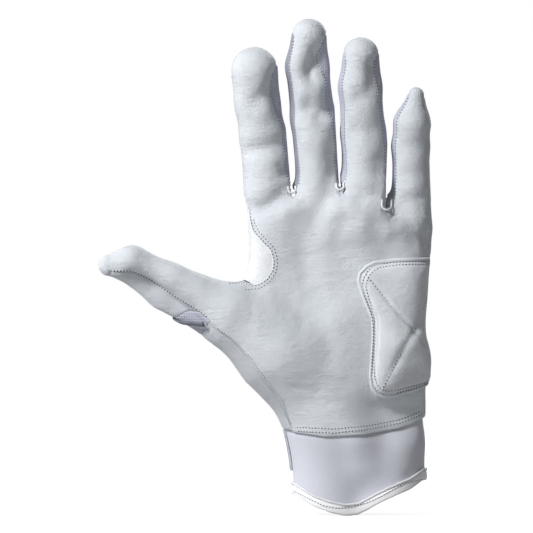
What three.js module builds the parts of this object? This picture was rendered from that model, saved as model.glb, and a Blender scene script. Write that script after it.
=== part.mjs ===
import * as THREE from 'three';

// Batting glove for the left hand, palm towards -Y, fingers towards +Z, thumb towards -X.
// The origin is the centre of the wrist opening. All lengths are in millimetres.
// Tapered bones make one smooth hand form. Every panel is a shell between two levels
// over that form, so neighbouring panels follow each other and meet at their seams.

// Wall thicknesses and clearances
const leatherThickness = 1;
const fabricThickness = 0.9;
const cuffThickness = 1.4;
const foamThickness = 1.6;
const fastenerThickness = 0.8;
const seamGap = 0.4;
const hingeGap = 0.6;
const layerGap = 0.3;
const fingerGap = 0.9;

// Hand form
const palmWidth = 90;
const palmLength = 140;
const palmThicknessShare = 0.3889;
const palmThickness = palmWidth * palmThicknessShare;
const palmBlend = 5;
const digitBlend = 3;
const thumbBlend = 5;
const jointBlend = 1;
const crotchBlend = 0.2;
const rootReachShare = 0.2143;
const rootReach = palmLength * rootReachShare;
const sideRadiusShare = 0.3714;
const sideRadius = palmThickness * sideRadiusShare;
const thumbDepthShare = 0.2286;
const palmDepthAtThumb = palmThickness * thumbDepthShare;
const thumbStartShare = 0.4;

// Places read from the photograph, which shows the palm this many pixels wide and long
const palmPixels = [187.5, 291.67];
const originPixel = [360, 500];

// Bones of the palm, as [x, y, z, radius] at both ends
const palmBoneShares = [
  [[-0.149, 0, 0.263, 0.389], [-0.451, 0.014, 0.943, 0.217]],
  [[-0.06, 0.029, 0.267, 0.46], [-0.21, 0.043, 0.976, 0.266]],
  [[0.037, 0.029, 0.271, 0.42], [0.026, 0.043, 0.964, 0.317]],
  [[0.118, 0, 0.273, 0.351], [0.252, 0.014, 0.855, 0.274]],
  [[-0.228, -0.057, 0.3, 0.32], [-0.421, -0.2, 0.486, 0.489]],
  [[0.171, -0.086, 0.351, 0.326], [0.207, -0.143, 0.477, 0.263]],
  [[-0.157, 0.029, -0.086, 0.506], [-0.163, 0.029, 0.269, 0.486]],
  [[0.151, 0.029, -0.086, 0.52], [0.149, 0.029, 0.176, 0.483]],
  [[-0.507, -0.057, 1.021, 0.089], [-0.51, -0.114, 0.801, 0.08]],
  [[-0.489, -0.114, 0.802, 0.026], [-0.512, -0.16, 0.646, 0.28]],
  [[-0.37, 0.012, 0.986, 0.2], [-0.11, 0.012, 0.993, 0.2]],
  [[-0.11, 0.012, 0.993, 0.2], [0.139, 0.012, 0.932, 0.2]],
];

// Each digit, in shares of the palm's width, thickness and length: the knuckle end of its
// spine, how far it leans, curls and reaches from there, its radius, and the crease where it
// hinges. Then the shares of reach, lean, curl and radius at its stations.
// A side has the angles of its front and back seams, measured from the palm side.
const digits = {
  index: {
    knuckleShares: [-0.48444, 0, 1.06929], moveShares: [-0.07778, -0.17143, 0.40143],
    radiusShare: 0.11333, creaseShareOfPalm: 1.06286,
    reachShares: [0, 0.436, 0.72, 1], leanShares: [0, 0.4, 0.79, 1],
    curlShares: [0, 0.17, 0.58, 1], radiusShares: [1.06, 0.97, 0.93, 1],
    left: { front: 96, back: 96 }, right: { front: 62, back: 118 },
  },
  middle: {
    knuckleShares: [-0.2, 0, 1.005], moveShares: [-0.07222, -0.22857, 0.58214],
    radiusShare: 0.10667, creaseShareOfPalm: 1.07286,
    reachShares: [0, 0.525, 0.827, 1], leanShares: [0, 0.71, 1.13, 1],
    curlShares: [0, 0.19, 0.62, 1], radiusShares: [1.06, 0.99, 0.95, 0.77],
    left: { front: 62, back: 118 }, right: { front: 62, back: 118 },
  },
  ring: {
    knuckleShares: [0.05667, 0, 0.98857], moveShares: [-0.05667, -0.21429, 0.53357],
    radiusShare: 0.10667, creaseShareOfPalm: 1.08857,
    reachShares: [0, 0.505, 0.798, 1], leanShares: [0, 0.7, 1, 0.94],
    curlShares: [0, 0.2, 0.67, 1], radiusShares: [1.28, 0.99, 0.95, 0.8],
    left: { front: 62, back: 118 }, right: { front: 62, back: 118 },
  },
  little: {
    knuckleShares: [0.27778, 0, 0.94429], moveShares: [0.02, -0.14286, 0.44286],
    radiusShare: 0.08889, creaseShareOfPalm: 1.01143,
    reachShares: [0, 0.605, 0.79, 1], leanShares: [0, -0.44, -0.06, 1],
    curlShares: [0, 0.2, 0.6, 1], radiusShares: [1.04, 0.96, 0.92, 0.36],
    left: { front: 62, back: 118 }, right: { front: 96, back: 96 },
  },
  thumb: {
    knuckleShares: [-0.38889, -0.2, 0.48429], moveShares: [-0.94333, -0.22857, 0.32],
    radiusShare: 0.13333, creaseShareOfPalm: 0.65714,
    reachShares: [0, 0.467, 0.776, 1.007, 1], leanShares: [0, 0.335, 0.673, 0.874, 1],
    curlShares: [0, 0.375, 0.625, 0.875, 1], radiusShares: [1.18, 1.117, 0.85, 0.642, 0.342],
    left: { front: 31, back: 31 }, right: { front: 100, back: 100 },
  },
};
const fingerNames = ['index', 'middle', 'ring', 'little'];
const shaftRows = 8;
const tipRows = 3;
const tipSpread = 76;
const forkTipShare = 0.7;
const panelColumns = 5;
const forkColumns = 2;

// Slits between the fingers, each from its bottom to a place higher up
const crotchPixels = [
  [[292, 191], [283, 84]],
  [[340, 188], [334, 84]],
  [[386, 208], [389, 124]],
];
const slitSlope = 2;
const notchDepth = 3.2;
const tallCrotch = 3;
const wallFootShare = 0.9;
const crotchDepth = 6;
const crotchHalfWidth = 1.4;
const crotchSink = 1.6;
const crotchEndSink = 0.9;
const crotchColumns = 10;

// Seams drawn on the palm side
const wristCornerPixel = [293, 431];
const webCornerPixel = [266, 279];
const thenarPixels = [wristCornerPixel, [290, 400], [284, 360], [274, 315], webCornerPixel];
const webSeamPixels = [
  webCornerPixel, [272, 270], [273, 260], [270, 250], [263, 243], [255, 234], [249.5, 223], [246.5, 211],
  [246, 200],
];
const wristEdgePixels = [wristCornerPixel, [325, 435], [363, 433], [399, 427], [430, 416]];
const ulnarPixels = [[430, 416], [428, 390], [427, 330], [430, 270], [432, 215]];
const thumbSeamPixels = [wristCornerPixel, [281, 400], [264, 379], [250, 359], [233, 341], [213, 326]];
const thumbWebSeamPixels = [webCornerPixel, [258, 284], [242, 286], [232, 284.5], [224, 283]];
const thenarRows = 9;

// Web gusset between thumb and index finger: its free edge, and how deep that edge lies
const webEdgePixels = [
  [225, 278], [233, 279.5], [241, 280], [246.5, 276], [247.5, 268], [247, 256], [246.5, 243], [246.5, 230],
  [246.5, 216], [245.5, 201],
];
const webInsetShare = 0.1143;
const webInset = palmThickness * webInsetShare;
const leanLimit = 0.92;
const webGap = 0.8;
const webFold = 8;
const webThumbSteps = 8;
const webIndexSteps = 8;
const webThumbAngles = [76, 150];
const webIndexAngles = [96, 126];

// Heel patch: outline, foam under it and the place of the foam's border
const heelPatchPixels = [
  [359, 277], [373, 264], [395, 260], [421, 259], [421, 322], [421, 386], [396, 394], [380, 396],
  [371, 386], [369, 374], [371, 343], [371, 322], [362, 300],
];
const heelFoamShare = 0.86;
const heelGap = 0.5;
const heelRings = 5;
const heelSpokes = 26;

// Back of the hand
const knuckleLinePixels = [[262, 243], [300, 233], [345, 233], [395, 245], [432, 262]];
const backSeamPixels = [[300, 424], [296, 380], [286, 330], [274, 296], webCornerPixel];
const backWristPixels = [[300, 424], [365, 421], [430, 416]];
const flexSteps = 5;
const flexGap = 1;
const wristFold = 8;
const wristSideShare = 0.4;
const wristSideRadius = palmThickness * wristSideShare;

// Thumb: how far the tip panel and the trim band stay from the hinge, as [angle, share of
// the thumb's radius]
const thumbTipStartShares = [
  [100, 0.833], [140, 1.167], [180, 1.417], [225, 1.583], [270, 1.5], [300, 1], [329, 0.583],
];
const trimStartShares = [
  [120, 0.667], [160, 0.917], [200, 1.167], [240, 1.292], [270, 1.25], [285, 0.917], [300, 0.583], [318, 0.167],
];
const thumbBackColumns = 8;
const thumbFlexRows = 2;
const trimRadius = 0.8;
const trimSteps = 24;
const trimSides = 8;

// Cuff, hem, strap and fastener on the wrist. Angles start at the palm side, towards +X.
const wristHalfWidth = 34;
const wristHalfDepth = 23;
const cuffOverlap = 6;
const cuffColumns = 36;
const cuffRows = 3;
const tuckStart = 1.5;
const tuckDepth = 0.8;
const hemFrontPixels = [
  [291, 494], [300, 499], [312, 506], [325, 511], [340, 514.5], [357, 513], [371, 508], [387, 500], [402, 493],
  [414, 488], [427, 480],
];
const hemBackPixels = [[291, 494], [360, 490], [427, 480]];
const ventCentre = 188;
const ventHalfAngle = 10;
const ventLap = 8;
const bindingHeight = 4.6;
const bindingThickness = 0.8;
const pipingRadius = 0.75;
const strapBottom = 14;
const strapTop = 34;
const strapStart = 254;
const strapEnd = 132;
const strapCornerTurn = 6;
const strapTipShare = 0.25;
const strapRise = 70;
const strapThickness = 1.3;
const strapColumns = 20;
const anchorAngles = [256.5, 266];
const fastenerMargin = 2.5;
const loopAngles = [139, 174];
const hookAngles = [142, 170];

const marchSteps = 120;
const marchShare = 0.95;
const marchLimit = 1e-5;
const settleSteps = 6;
const settleDepth = 2;
const slopeStep = 0.01;
const weldSize = 0.001;
const degree = Math.PI / 180;
const fullTurn = 360;

const vec = (x, y, z) => new THREE.Vector3(x, y, z);
const smooth = (share) => share * share * (3 - 2 * share);
const clampShare = (share) => Math.min(Math.max(share, 0), 1);
const mix = (a, b, share) => a + (b - a) * share;
const pixelWidth = palmWidth / palmPixels[0];
const pixelHeight = palmLength / palmPixels[1];
const fromPixel = ([x, y]) => vec((x - originPixel[0]) * pixelWidth, 0, (originPixel[1] - y) * pixelHeight);

// The hand form
function makeBone(start, end, startRadius, endRadius) {
  const along = end.clone().sub(start);
  return { start, along, square: along.lengthSq(), startRadius, endRadius };
}

function boneDistance(p, bone) {
  const x = p.x - bone.start.x;
  const y = p.y - bone.start.y;
  const z = p.z - bone.start.z;
  const share = clampShare((x * bone.along.x + y * bone.along.y + z * bone.along.z) / bone.square);
  const gap = Math.hypot(x - share * bone.along.x, y - share * bone.along.y, z - share * bone.along.z);
  return gap - mix(bone.startRadius, bone.endRadius, share);
}

function softUnion(distances, softness) {
  const nearest = Math.min(...distances);
  const total = distances.reduce((sum, d) => sum + Math.exp((nearest - d) / softness), 0);
  return nearest - softness * Math.log(total);
}

const palmPlace = ([x, y, z]) => vec(x * palmWidth, y * palmThickness, z * palmLength);
const palmBones = palmBoneShares.map(([a, b]) => makeBone(
  palmPlace(a), palmPlace(b), a[3] * palmThickness, b[3] * palmThickness,
));

for (const digit of Object.values(digits)) {
  const [lean, curl, reach] = digit.moveShares;
  digit.stations = digit.reachShares.map((share, i) => {
    const move = palmPlace([lean * digit.leanShares[i], curl * digit.curlShares[i], reach * share]);
    return move.add(palmPlace(digit.knuckleShares));
  });
  digit.radius = digit.radiusShare * palmWidth;
  digit.creaseZ = digit.creaseShareOfPalm * palmLength;
  digit.bones = digit.stations.slice(1).map((end, i) => makeBone(
    digit.stations[i], end, digit.radius * digit.radiusShares[i], digit.radius * digit.radiusShares[i + 1],
  ));
  const root = digit.stations[0].clone().sub(digit.stations[1]).setLength(rootReach).add(digit.stations[0]);
  digit.spine = new THREE.CatmullRomCurve3([root, ...digit.stations]);
  let low = 0;
  let high = 1;
  while (high - low > marchLimit) {
    const middle = (low + high) / 2;
    if (digit.spine.getPointAt(middle).z < digit.creaseZ) low = middle;
    else high = middle;
  }
  digit.creaseShare = low;
  digit.shaftLength = digit.spine.getLength() * (1 - low);
}

const crotches = crotchPixels.map(([bottomPixel, topPixel]) => {
  const bottom = fromPixel(bottomPixel);
  const up = fromPixel(topPixel).sub(bottom).normalize();
  return { bottom, up, across: vec(up.z, 0, -up.x) };
});

// Distance that keeps a finger on its side of a slit, and lets go below the slit's bottom
const slitScale = Math.hypot(1, slitSlope);

function slitDistance(p, crotch, side) {
  const x = p.x - crotch.bottom.x;
  const z = p.z - crotch.bottom.z;
  const across = side * (x * crotch.across.x + z * crotch.across.z) + fingerGap / 2;
  const up = x * crotch.up.x + z * crotch.up.z;
  return leatherThickness + Math.min(across, (across + slitSlope * up) / slitScale);
}

const palmDistance = (p) => softUnion(palmBones.map((bone) => boneDistance(p, bone)), palmBlend);

function digitDistance(p, digit, palm, blend) {
  const chain = softUnion(digit.bones.map((bone) => boneDistance(p, bone)), jointBlend);
  return softUnion([palm, chain], blend);
}

function fingerDistance(p, index, palm) {
  let distance = digitDistance(p, digits[fingerNames[index]], palm, digitBlend);
  if (index > 0) distance = Math.max(distance, slitDistance(p, crotches[index - 1], -1));
  if (index < crotches.length) distance = Math.max(distance, slitDistance(p, crotches[index], 1));
  return distance;
}

// The palm without the slits' wedges
const slitPalm = (p, palm) => crotches.reduce((distance, crotch) => (
  Math.max(distance, Math.min(slitDistance(p, crotch, -1), slitDistance(p, crotch, 1)))
), palm);

const thumbDistance = (p) => digitDistance(p, digits.thumb, slitPalm(p, palmDistance(p)), thumbBlend);

function handDistance(p) {
  const palm = palmDistance(p);
  const fingers = fingerNames.map((name, index) => fingerDistance(p, index, palm));
  return softUnion([...fingers, digitDistance(p, digits.thumb, slitPalm(p, palm), thumbBlend)], crotchBlend);
}

function fieldOf(name) {
  if (name === 'thumb') return thumbDistance;
  return (p) => fingerDistance(p, fingerNames.indexOf(name), palmDistance(p));
}

// Rays: each starts inside the form and leaves it through the panel
const ray = (origin, direction) => ({ origin, direction: direction.clone().normalize() });

function hit(distance, { origin, direction }, level) {
  const point = origin.clone();
  for (let step = 0; step < marchSteps; step += 1) {
    const left = level - distance(point);
    point.addScaledVector(direction, left * marchShare);
    if (Math.abs(left) < marchLimit) break;
  }
  return point;
}

// Value in a table of [key, value] rows
function valueAt(table, key) {
  const found = table.findIndex(([start]) => start > key);
  const i = found < 0 ? table.length - 1 : Math.max(1, found);
  const [[a, low], [b, high]] = [table[i - 1], table[i]];
  return mix(low, high, clampShare((key - a) / (b - a)));
}

const heightTable = (pixels) => pixels.map(fromPixel).map(({ x, z }) => [x, z]);

const spread = (from, to, steps) => Array.from({ length: steps + 1 }, (_, i) => mix(from, to, i / steps));

function resample(points, count) {
  const lengths = [0];
  for (let i = 1; i < points.length; i += 1) lengths.push(lengths[i - 1] + points[i].distanceTo(points[i - 1]));
  const total = lengths[lengths.length - 1];
  return Array.from({ length: count }, (_, step) => {
    const target = (total * step) / (count - 1);
    let i = 1;
    while (i < points.length - 1 && lengths[i] < target) i += 1;
    return points[i - 1].clone().lerp(points[i], (target - lengths[i - 1]) / (lengths[i] - lengths[i - 1]));
  });
}

const seamLine = (pixels, steps) => resample(pixels.map(fromPixel), steps + 1);

// Moves a line of places sideways in the front view: to its left for a positive distance
function shifted(places, distance) {
  return places.map((place, i) => {
    const before = places[Math.max(0, i - 1)];
    const after = places[Math.min(places.length - 1, i + 1)];
    const left = vec(-(after.z - before.z), 0, after.x - before.x).normalize();
    return place.clone().addScaledVector(left, distance);
  });
}

// A flat ray at a place seen from the front leaves through the palm (facing -1) or the
// back (facing 1). A tilt of 1 leaves sideways at the outline.
const depthAt = (x) => -palmDepthAtThumb * smooth(clampShare((-x - palmWidth * thumbStartShare) / (palmWidth / 2)));

function flatRay(place, facing, tilt = 0) {
  const origin = vec(place.x - tilt * sideRadius, depthAt(place.x), place.z);
  return ray(origin, vec(tilt, facing * Math.sqrt(1 - tilt * tilt), 0));
}

const sideTilt = Math.cos(seamGap / 2 / sideRadius);
const tiltAt = (place, edge) => clampShare(sideTilt - (edge.x - place.x) / sideRadius);
const flatRays = (places, facing) => places.map((place) => flatRay(place, facing));

// A ray that turns round an outline, from the palm side to the back. It starts flat where
// the seam lies well inside the outline and leans outwards where the seam nears it.
function foldRay(place, edge, outward, inset, turnShare, shift) {
  const depth = edge.clone().sub(place).dot(outward);
  const share = Math.min(clampShare(1 - depth / inset), leanLimit);
  const lean = Math.asin(share) + share * shift / inset;
  const turn = mix(lean, Math.PI - lean, turnShare);
  const start = place.clone().addScaledVector(outward, Math.min(0, depth - inset));
  const origin = start.lerp(edge.clone().addScaledVector(outward, -inset), Math.sin(turn));
  origin.y = depthAt(origin.x);
  return ray(origin, vec(0, -Math.cos(turn), 0).addScaledVector(outward, Math.sin(turn)));
}

// Directions round a digit: the angle is 0 at the palm side and grows towards +X or the web
function digitFrame(digit, share) {
  const place = clampShare(mix(digit.creaseShare, 1, share));
  const tangent = digit.spine.getTangentAt(place);
  const front = vec(0, -1, 0).addScaledVector(tangent, tangent.y).normalize();
  return { origin: digit.spine.getPointAt(place), tangent, front, side: tangent.clone().cross(front) };
}

function digitRay(digit, share, angle) {
  const { origin, front, side } = digitFrame(digit, share);
  const turn = angle * degree;
  return ray(origin, front.multiplyScalar(Math.cos(turn)).addScaledVector(side, Math.sin(turn)));
}

// A ray over the fingertip, from its angle at the end of the shaft to the tip seam
function tipRay(digit, angle, seamPlace, lift, share) {
  const { origin, tangent, front, side } = digitFrame(digit, 1);
  const turn = angle * degree;
  const from = front.clone().multiplyScalar(Math.cos(turn)).addScaledVector(side, Math.sin(turn));
  const spreadTurn = seamPlace * tipSpread * degree;
  const to = side.clone().multiplyScalar(Math.sin(spreadTurn)).addScaledVector(tangent, Math.cos(spreadTurn))
    .addScaledVector(front, lift).normalize();
  const between = from.angleTo(to);
  const direction = from.multiplyScalar(Math.sin((1 - share) * between))
    .addScaledVector(to, Math.sin(share * between));
  return ray(origin, direction);
}

// A ray that leaves the form squarely near a place
function normalRay(distance, place) {
  const point = place.clone();
  const slope = vec(0, 0, 0);
  for (let step = 0; step < settleSteps; step += 1) {
    const here = distance(point);
    slope.set(
      distance(point.clone().add(vec(slopeStep, 0, 0))) - here,
      distance(point.clone().add(vec(0, slopeStep, 0))) - here,
      distance(point.clone().add(vec(0, 0, slopeStep))) - here,
    ).normalize();
    point.addScaledVector(slope, leatherThickness - here);
  }
  return ray(point.addScaledVector(slope, -settleDepth), slope);
}

// A four-sided patch of rays from its four border lines
function patchRays(distance, bottom, top, left, right) {
  const rows = left.length - 1;
  const columns = bottom.length - 1;
  const places = (line) => line.map((entry) => hit(distance, entry, leatherThickness));
  const [low, high, first, last] = [bottom, top, left, right].map(places);
  const corners = [low[0], low[columns], high[0], high[columns]];
  return left.map((leftRay, row) => bottom.map((bottomRay, column) => {
    if (row === 0) return bottomRay;
    if (row === rows) return top[column];
    if (column === 0) return leftRay;
    if (column === columns) return right[row];
    const up = row / rows;
    const over = column / columns;
    const shares = [(1 - up) * (1 - over), (1 - up) * over, up * (1 - over), up * over];
    const place = low[column].clone().multiplyScalar(1 - up).addScaledVector(high[column], up)
      .addScaledVector(first[row], 1 - over).addScaledVector(last[row], over);
    corners.forEach((corner, i) => place.addScaledVector(corner, -shares[i]));
    return normalRay(distance, place);
  }));
}

// Closed shell from grids of rays. Grids that share rays are joined along them.
function shell(distance, grids, outer, inner) {
  const outerPoints = [];
  const innerPoints = [];
  const known = new Map();
  const levelAt = (level, row, column) => (typeof level === 'function' ? level(row, column) : level);
  const faces = [];
  for (const grid of grids) {
    const ids = grid.map((entries, row) => entries.map((entry, column) => {
      const point = hit(distance, entry, levelAt(outer, row, column));
      const key = point.toArray().map((value) => Math.round(value / weldSize)).join();
      if (!known.has(key)) {
        known.set(key, outerPoints.length);
        outerPoints.push(point);
        innerPoints.push(hit(distance, entry, levelAt(inner, row, column)));
      }
      return known.get(key);
    }));
    const own = [];
    for (let row = 1; row < ids.length; row += 1) {
      for (let column = 1; column < ids[row].length; column += 1) {
        const [a, b] = [ids[row - 1][column - 1], ids[row - 1][column]];
        const [c, d] = [ids[row][column], ids[row][column - 1]];
        const straight = outerPoints[a].distanceTo(outerPoints[c]) < outerPoints[b].distanceTo(outerPoints[d]);
        const pair = straight ? [[a, b, c], [a, c, d]] : [[a, b, d], [b, c, d]];
        own.push(...pair.filter(([i, j, k]) => i !== j && j !== k && k !== i));
      }
    }
    const facing = own.reduce((sum, [i, j, k]) => {
      const normal = outerPoints[j].clone().sub(outerPoints[i]).cross(outerPoints[k].clone().sub(outerPoints[i]));
      return sum + normal.dot(outerPoints[i].clone().sub(innerPoints[i]));
    }, 0);
    faces.push(...(facing > 0 ? own : own.map(([i, j, k]) => [i, k, j])));
  }
  const count = outerPoints.length;
  const edges = new Set(faces.flatMap(([i, j, k]) => [`${i},${j}`, `${j},${k}`, `${k},${i}`]));
  const rims = [...edges].filter((edge) => !edges.has(edge.split(',').reverse().join()));
  const walls = rims.map((edge) => edge.split(',').map(Number)).flatMap(([a, b]) => [
    [b, a, a + count], [b, a + count, b + count],
  ]);
  const inside = faces.map(([i, j, k]) => [i + count, k + count, j + count]);
  const geometry = new THREE.BufferGeometry();
  const points = [...outerPoints, ...innerPoints].flatMap((p) => p.toArray());
  geometry.setAttribute('position', new THREE.Float32BufferAttribute(points, 3));
  geometry.setIndex([...faces, ...inside, ...walls].flat());
  geometry.computeVertexNormals();
  return geometry;
}

const leatherShell = (distance, ...grids) => shell(distance, grids, leatherThickness, 0);
const fabricShell = (distance, ...grids) => (
  shell(distance, grids, leatherThickness, leatherThickness - fabricThickness)
);

// Digit panels. Half a seam gap turns each edge back from its seam.
const seamTurn = (digit) => seamGap / 2 / digit.radius / degree;
const hingeShare = (digit) => hingeGap / 2 / digit.shaftLength;

function digitPanel(name, from, to, face, columns, startAt = () => hingeGap / 2) {
  const digit = digits[name];
  const turn = seamTurn(digit);
  const angles = spread(from + turn, to - turn, columns);
  const rows = spread(0, 1, shaftRows).map((share) => angles.map((angle) => (
    digitRay(digit, mix(startAt(angle) / digit.shaftLength, 1, share), angle)
  )));
  const lift = face * turn * degree;
  const seamPlaces = spread(-face, face, columns);
  for (const share of spread(0, 1, tipRows).slice(1)) {
    rows.push(angles.map((angle, i) => tipRay(digit, angle, seamPlaces[i], lift, share)));
  }
  return leatherShell(fieldOf(name), rows);
}

function fourchette(name, from, to) {
  const digit = digits[name];
  const turn = seamTurn(digit);
  const angles = spread(from + turn, to - turn, forkColumns);
  const rows = spread(hingeShare(digit), 1, shaftRows).map((share) => (
    angles.map((angle) => digitRay(digit, share, angle))
  ));
  for (const share of spread(0, forkTipShare, tipRows).slice(1)) {
    rows.push(angles.map((angle) => tipRay(digit, angle, Math.sign(from + to), 0, share)));
  }
  return fabricShell(fieldOf(name), rows);
}

// Rays at the digits' hinge lines, on the side of the hand
const rootRay = (name, angle) => digitRay(digits[name], -hingeShare(digits[name]), angle);

// The place below a slit's bottom where the leathers of two fingers part
function notchRay(index, depth, facing) {
  const { bottom, up } = crotches[index];
  return flatRay(bottom.clone().addScaledVector(up, -depth), facing);
}

// Where one finger hinges well above the slit's bottom, its side wall reaches down to it
const crotchRise = (index) => digits[fingerNames[index]].creaseZ - crotches[index].bottom.z;
const isTall = (index) => crotchRise(index) > tallCrotch;

function wallFootRay(index, angle) {
  const digit = digits[fingerNames[index]];
  return digitRay(digit, -crotchRise(index) * wallFootShare / digit.shaftLength, angle);
}

function crotchRays(index, angle, facing) {
  const notch = notchRay(index, notchDepth, facing);
  return isTall(index) ? [wallFootRay(index, angle), notch] : [notch];
}

// The palm's top edge, over the roots of the fingers and the crotches between them
function palmTop() {
  return fingerNames.flatMap((name, index) => {
    const { left, right } = digits[name];
    const turn = seamTurn(digits[name]);
    const angles = spread(turn - left.front, right.front - turn, panelColumns);
    const rays = angles.map((angle) => rootRay(name, angle));
    return index === crotches.length ? rays : [...rays, ...crotchRays(index, right.front - turn, -1)];
  });
}

// Web gusset stations, from the thumb's hinge line to the index finger's
const webSteps = webThumbSteps + webIndexSteps;
const webSeam = [
  ...seamLine(thumbWebSeamPixels, webThumbSteps).reverse(),
  ...seamLine(webSeamPixels, webIndexSteps).slice(1),
];
const webEdge = seamLine(webEdgePixels, webSteps);
const webOutward = shifted(webEdge, 1).map((place, i) => place.sub(webEdge[i]));

function webRay(station, turnShare, shift) {
  if (station === 0) {
    const turn = seamTurn(digits.thumb) * Math.sign(shift);
    return rootRay('thumb', mix(webThumbAngles[0] + turn, webThumbAngles[1] - turn, turnShare));
  }
  if (station === webSteps) {
    const turn = seamTurn(digits.index) * Math.sign(shift);
    return rootRay('index', -mix(webIndexAngles[0] + turn, webIndexAngles[1] - turn, turnShare));
  }
  const place = shifted(webSeam, shift)[station];
  return foldRay(place, webEdge[station], webOutward[station], webInset, turnShare, shift);
}

function webGusset() {
  const rows = webSeam.map((_, station) => (
    spread(0, 1, webFold).map((share) => webRay(station, share, webGap / 2))
  ));
  return leatherShell(handDistance, rows);
}

const webFrom = (first, last, turnShare) => (
  spread(first, last, Math.abs(last - first)).map((station) => webRay(station, turnShare, -webGap / 2))
);

// Palm leather with the root of the thumb
function palmLeather() {
  const top = palmTop();
  const thenar = flatRays(seamLine(thenarPixels, thenarRows).slice(0, -1), -1);
  const web = webFrom(webThumbSteps, webSteps, 0);
  const ulnar = seamLine(ulnarPixels, thenarRows + webIndexSteps).map((place) => flatRay(place, -1, sideTilt));
  const wrist = seamLine(wristEdgePixels, top.length - 1);
  const bottom = wrist.map((place) => flatRay(place, -1, tiltAt(place, wrist[wrist.length - 1])));
  bottom[0] = thenar[0];
  const palm = patchRays(handDistance, bottom, top, [...thenar, ...web], ulnar);
  const turn = seamTurn(digits.thumb);
  const ring = spread(turn - digits.thumb.left.front, webThumbAngles[0] - turn, thenarRows)
    .map((angle) => rootRay('thumb', angle));
  const seam = flatRays(shifted(seamLine(thumbSeamPixels, webThumbSteps), -seamGap / 2), -1);
  seam[0] = thenar[0];
  seam[webThumbSteps] = ring[0];
  const root = patchRays(handDistance, seam, webFrom(webThumbSteps, 0, 0), [...thenar, web[0]], ring);
  return leatherShell(handDistance, palm, root);
}

// Crotch gussets: saddles under the leather, over the bottom of each slit from front to
// back, with ends that rise to the leather
function crotchGusset(index) {
  const { bottom, up, across } = crotches[index];
  const grid = [-1, 0, 1].map((side) => spread(0, Math.PI, crotchColumns).map((turn) => {
    const origin = bottom.clone().addScaledVector(up, -crotchDepth).addScaledVector(across, side * crotchHalfWidth);
    return ray(origin, vec(0, -Math.cos(turn), 0).addScaledVector(up, Math.sin(turn)));
  }));
  const level = (_, column) => (column % crotchColumns === 0 ? -crotchEndSink : -crotchSink);
  return shell(handDistance, [grid], level, (row, column) => level(row, column) - fabricThickness);
}

// The side of a finger between its hinge line and the slit's bottom
function sideGusset(index) {
  const { right } = digits[fingerNames[index]];
  const turn = seamTurn(digits[fingerNames[index]]);
  const angles = spread(right.front + turn, right.back - turn, forkColumns);
  return fabricShell(handDistance, [
    angles.map((angle) => rootRay(fingerNames[index], angle)),
    angles.map((angle) => wallFootRay(index, angle)),
  ]);
}

// Heel patch: rings from its centre to its outline
function heelGrid(reach, rings) {
  const outline = resample([...heelPatchPixels, heelPatchPixels[0]].map(fromPixel), heelSpokes + 1);
  const centre = outline.slice(1).reduce((sum, p) => sum.add(p), vec(0, 0, 0)).divideScalar(heelSpokes);
  return spread(0, reach, rings).map((share) => flatRays(outline.map((p) => centre.clone().lerp(p, share)), -1));
}

const heelBase = leatherThickness + heelGap;

function heelPatchFoam() {
  const rise = (row) => (row === heelRings ? foamThickness / 2 : foamThickness);
  return shell(handDistance, [heelGrid(heelFoamShare, heelRings)], (row) => heelBase + rise(row), heelBase);
}

function heelPatchCover() {
  const rings = heelRings + 1;
  const lift = (row) => heelBase + (row < rings ? foamThickness + layerGap : 0);
  return shell(handDistance, [heelGrid(1, rings)], (row) => lift(row) + leatherThickness, lift);
}

// Stretch panels over the knuckles, one behind each finger
const knuckleTable = heightTable(knuckleLinePixels);
const ulnarEdge = fromPixel(ulnarPixels[ulnarPixels.length - 1]);
const webEnd = hit(handDistance, webRay(webSteps - flexSteps, 1, -webGap / 2), leatherThickness);
const knuckleEnds = [webEnd.x, ...crotches.map((_, index) => notchRay(index, notchDepth, 1).origin.x), ulnarEdge.x];
const knucklePlaces = fingerNames.flatMap((_, index) => (
  spread(knuckleEnds[index], knuckleEnds[index + 1], panelColumns).slice(index === 0 ? 0 : 1)
)).map((x) => vec(x, 0, valueAt(knuckleTable, x)));

// The line up the back between two knuckles to the crotch, and on to a finger's corner
function knuckleEdge(index, distance, cornerRays) {
  const steps = flexSteps - cornerRays.length;
  const { origin } = notchRay(index, notchDepth, 1);
  const side = vec(distance, 0, 0);
  const start = knucklePlaces[(index + 1) * panelColumns].clone().add(vec(0, 0, seamGap));
  const line = spread(0, 1, steps).map((share) => start.clone().setY(0).lerp(origin.clone().setY(0), share).add(side));
  return [...flatRays(line, 1), ...cornerRays];
}

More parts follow.
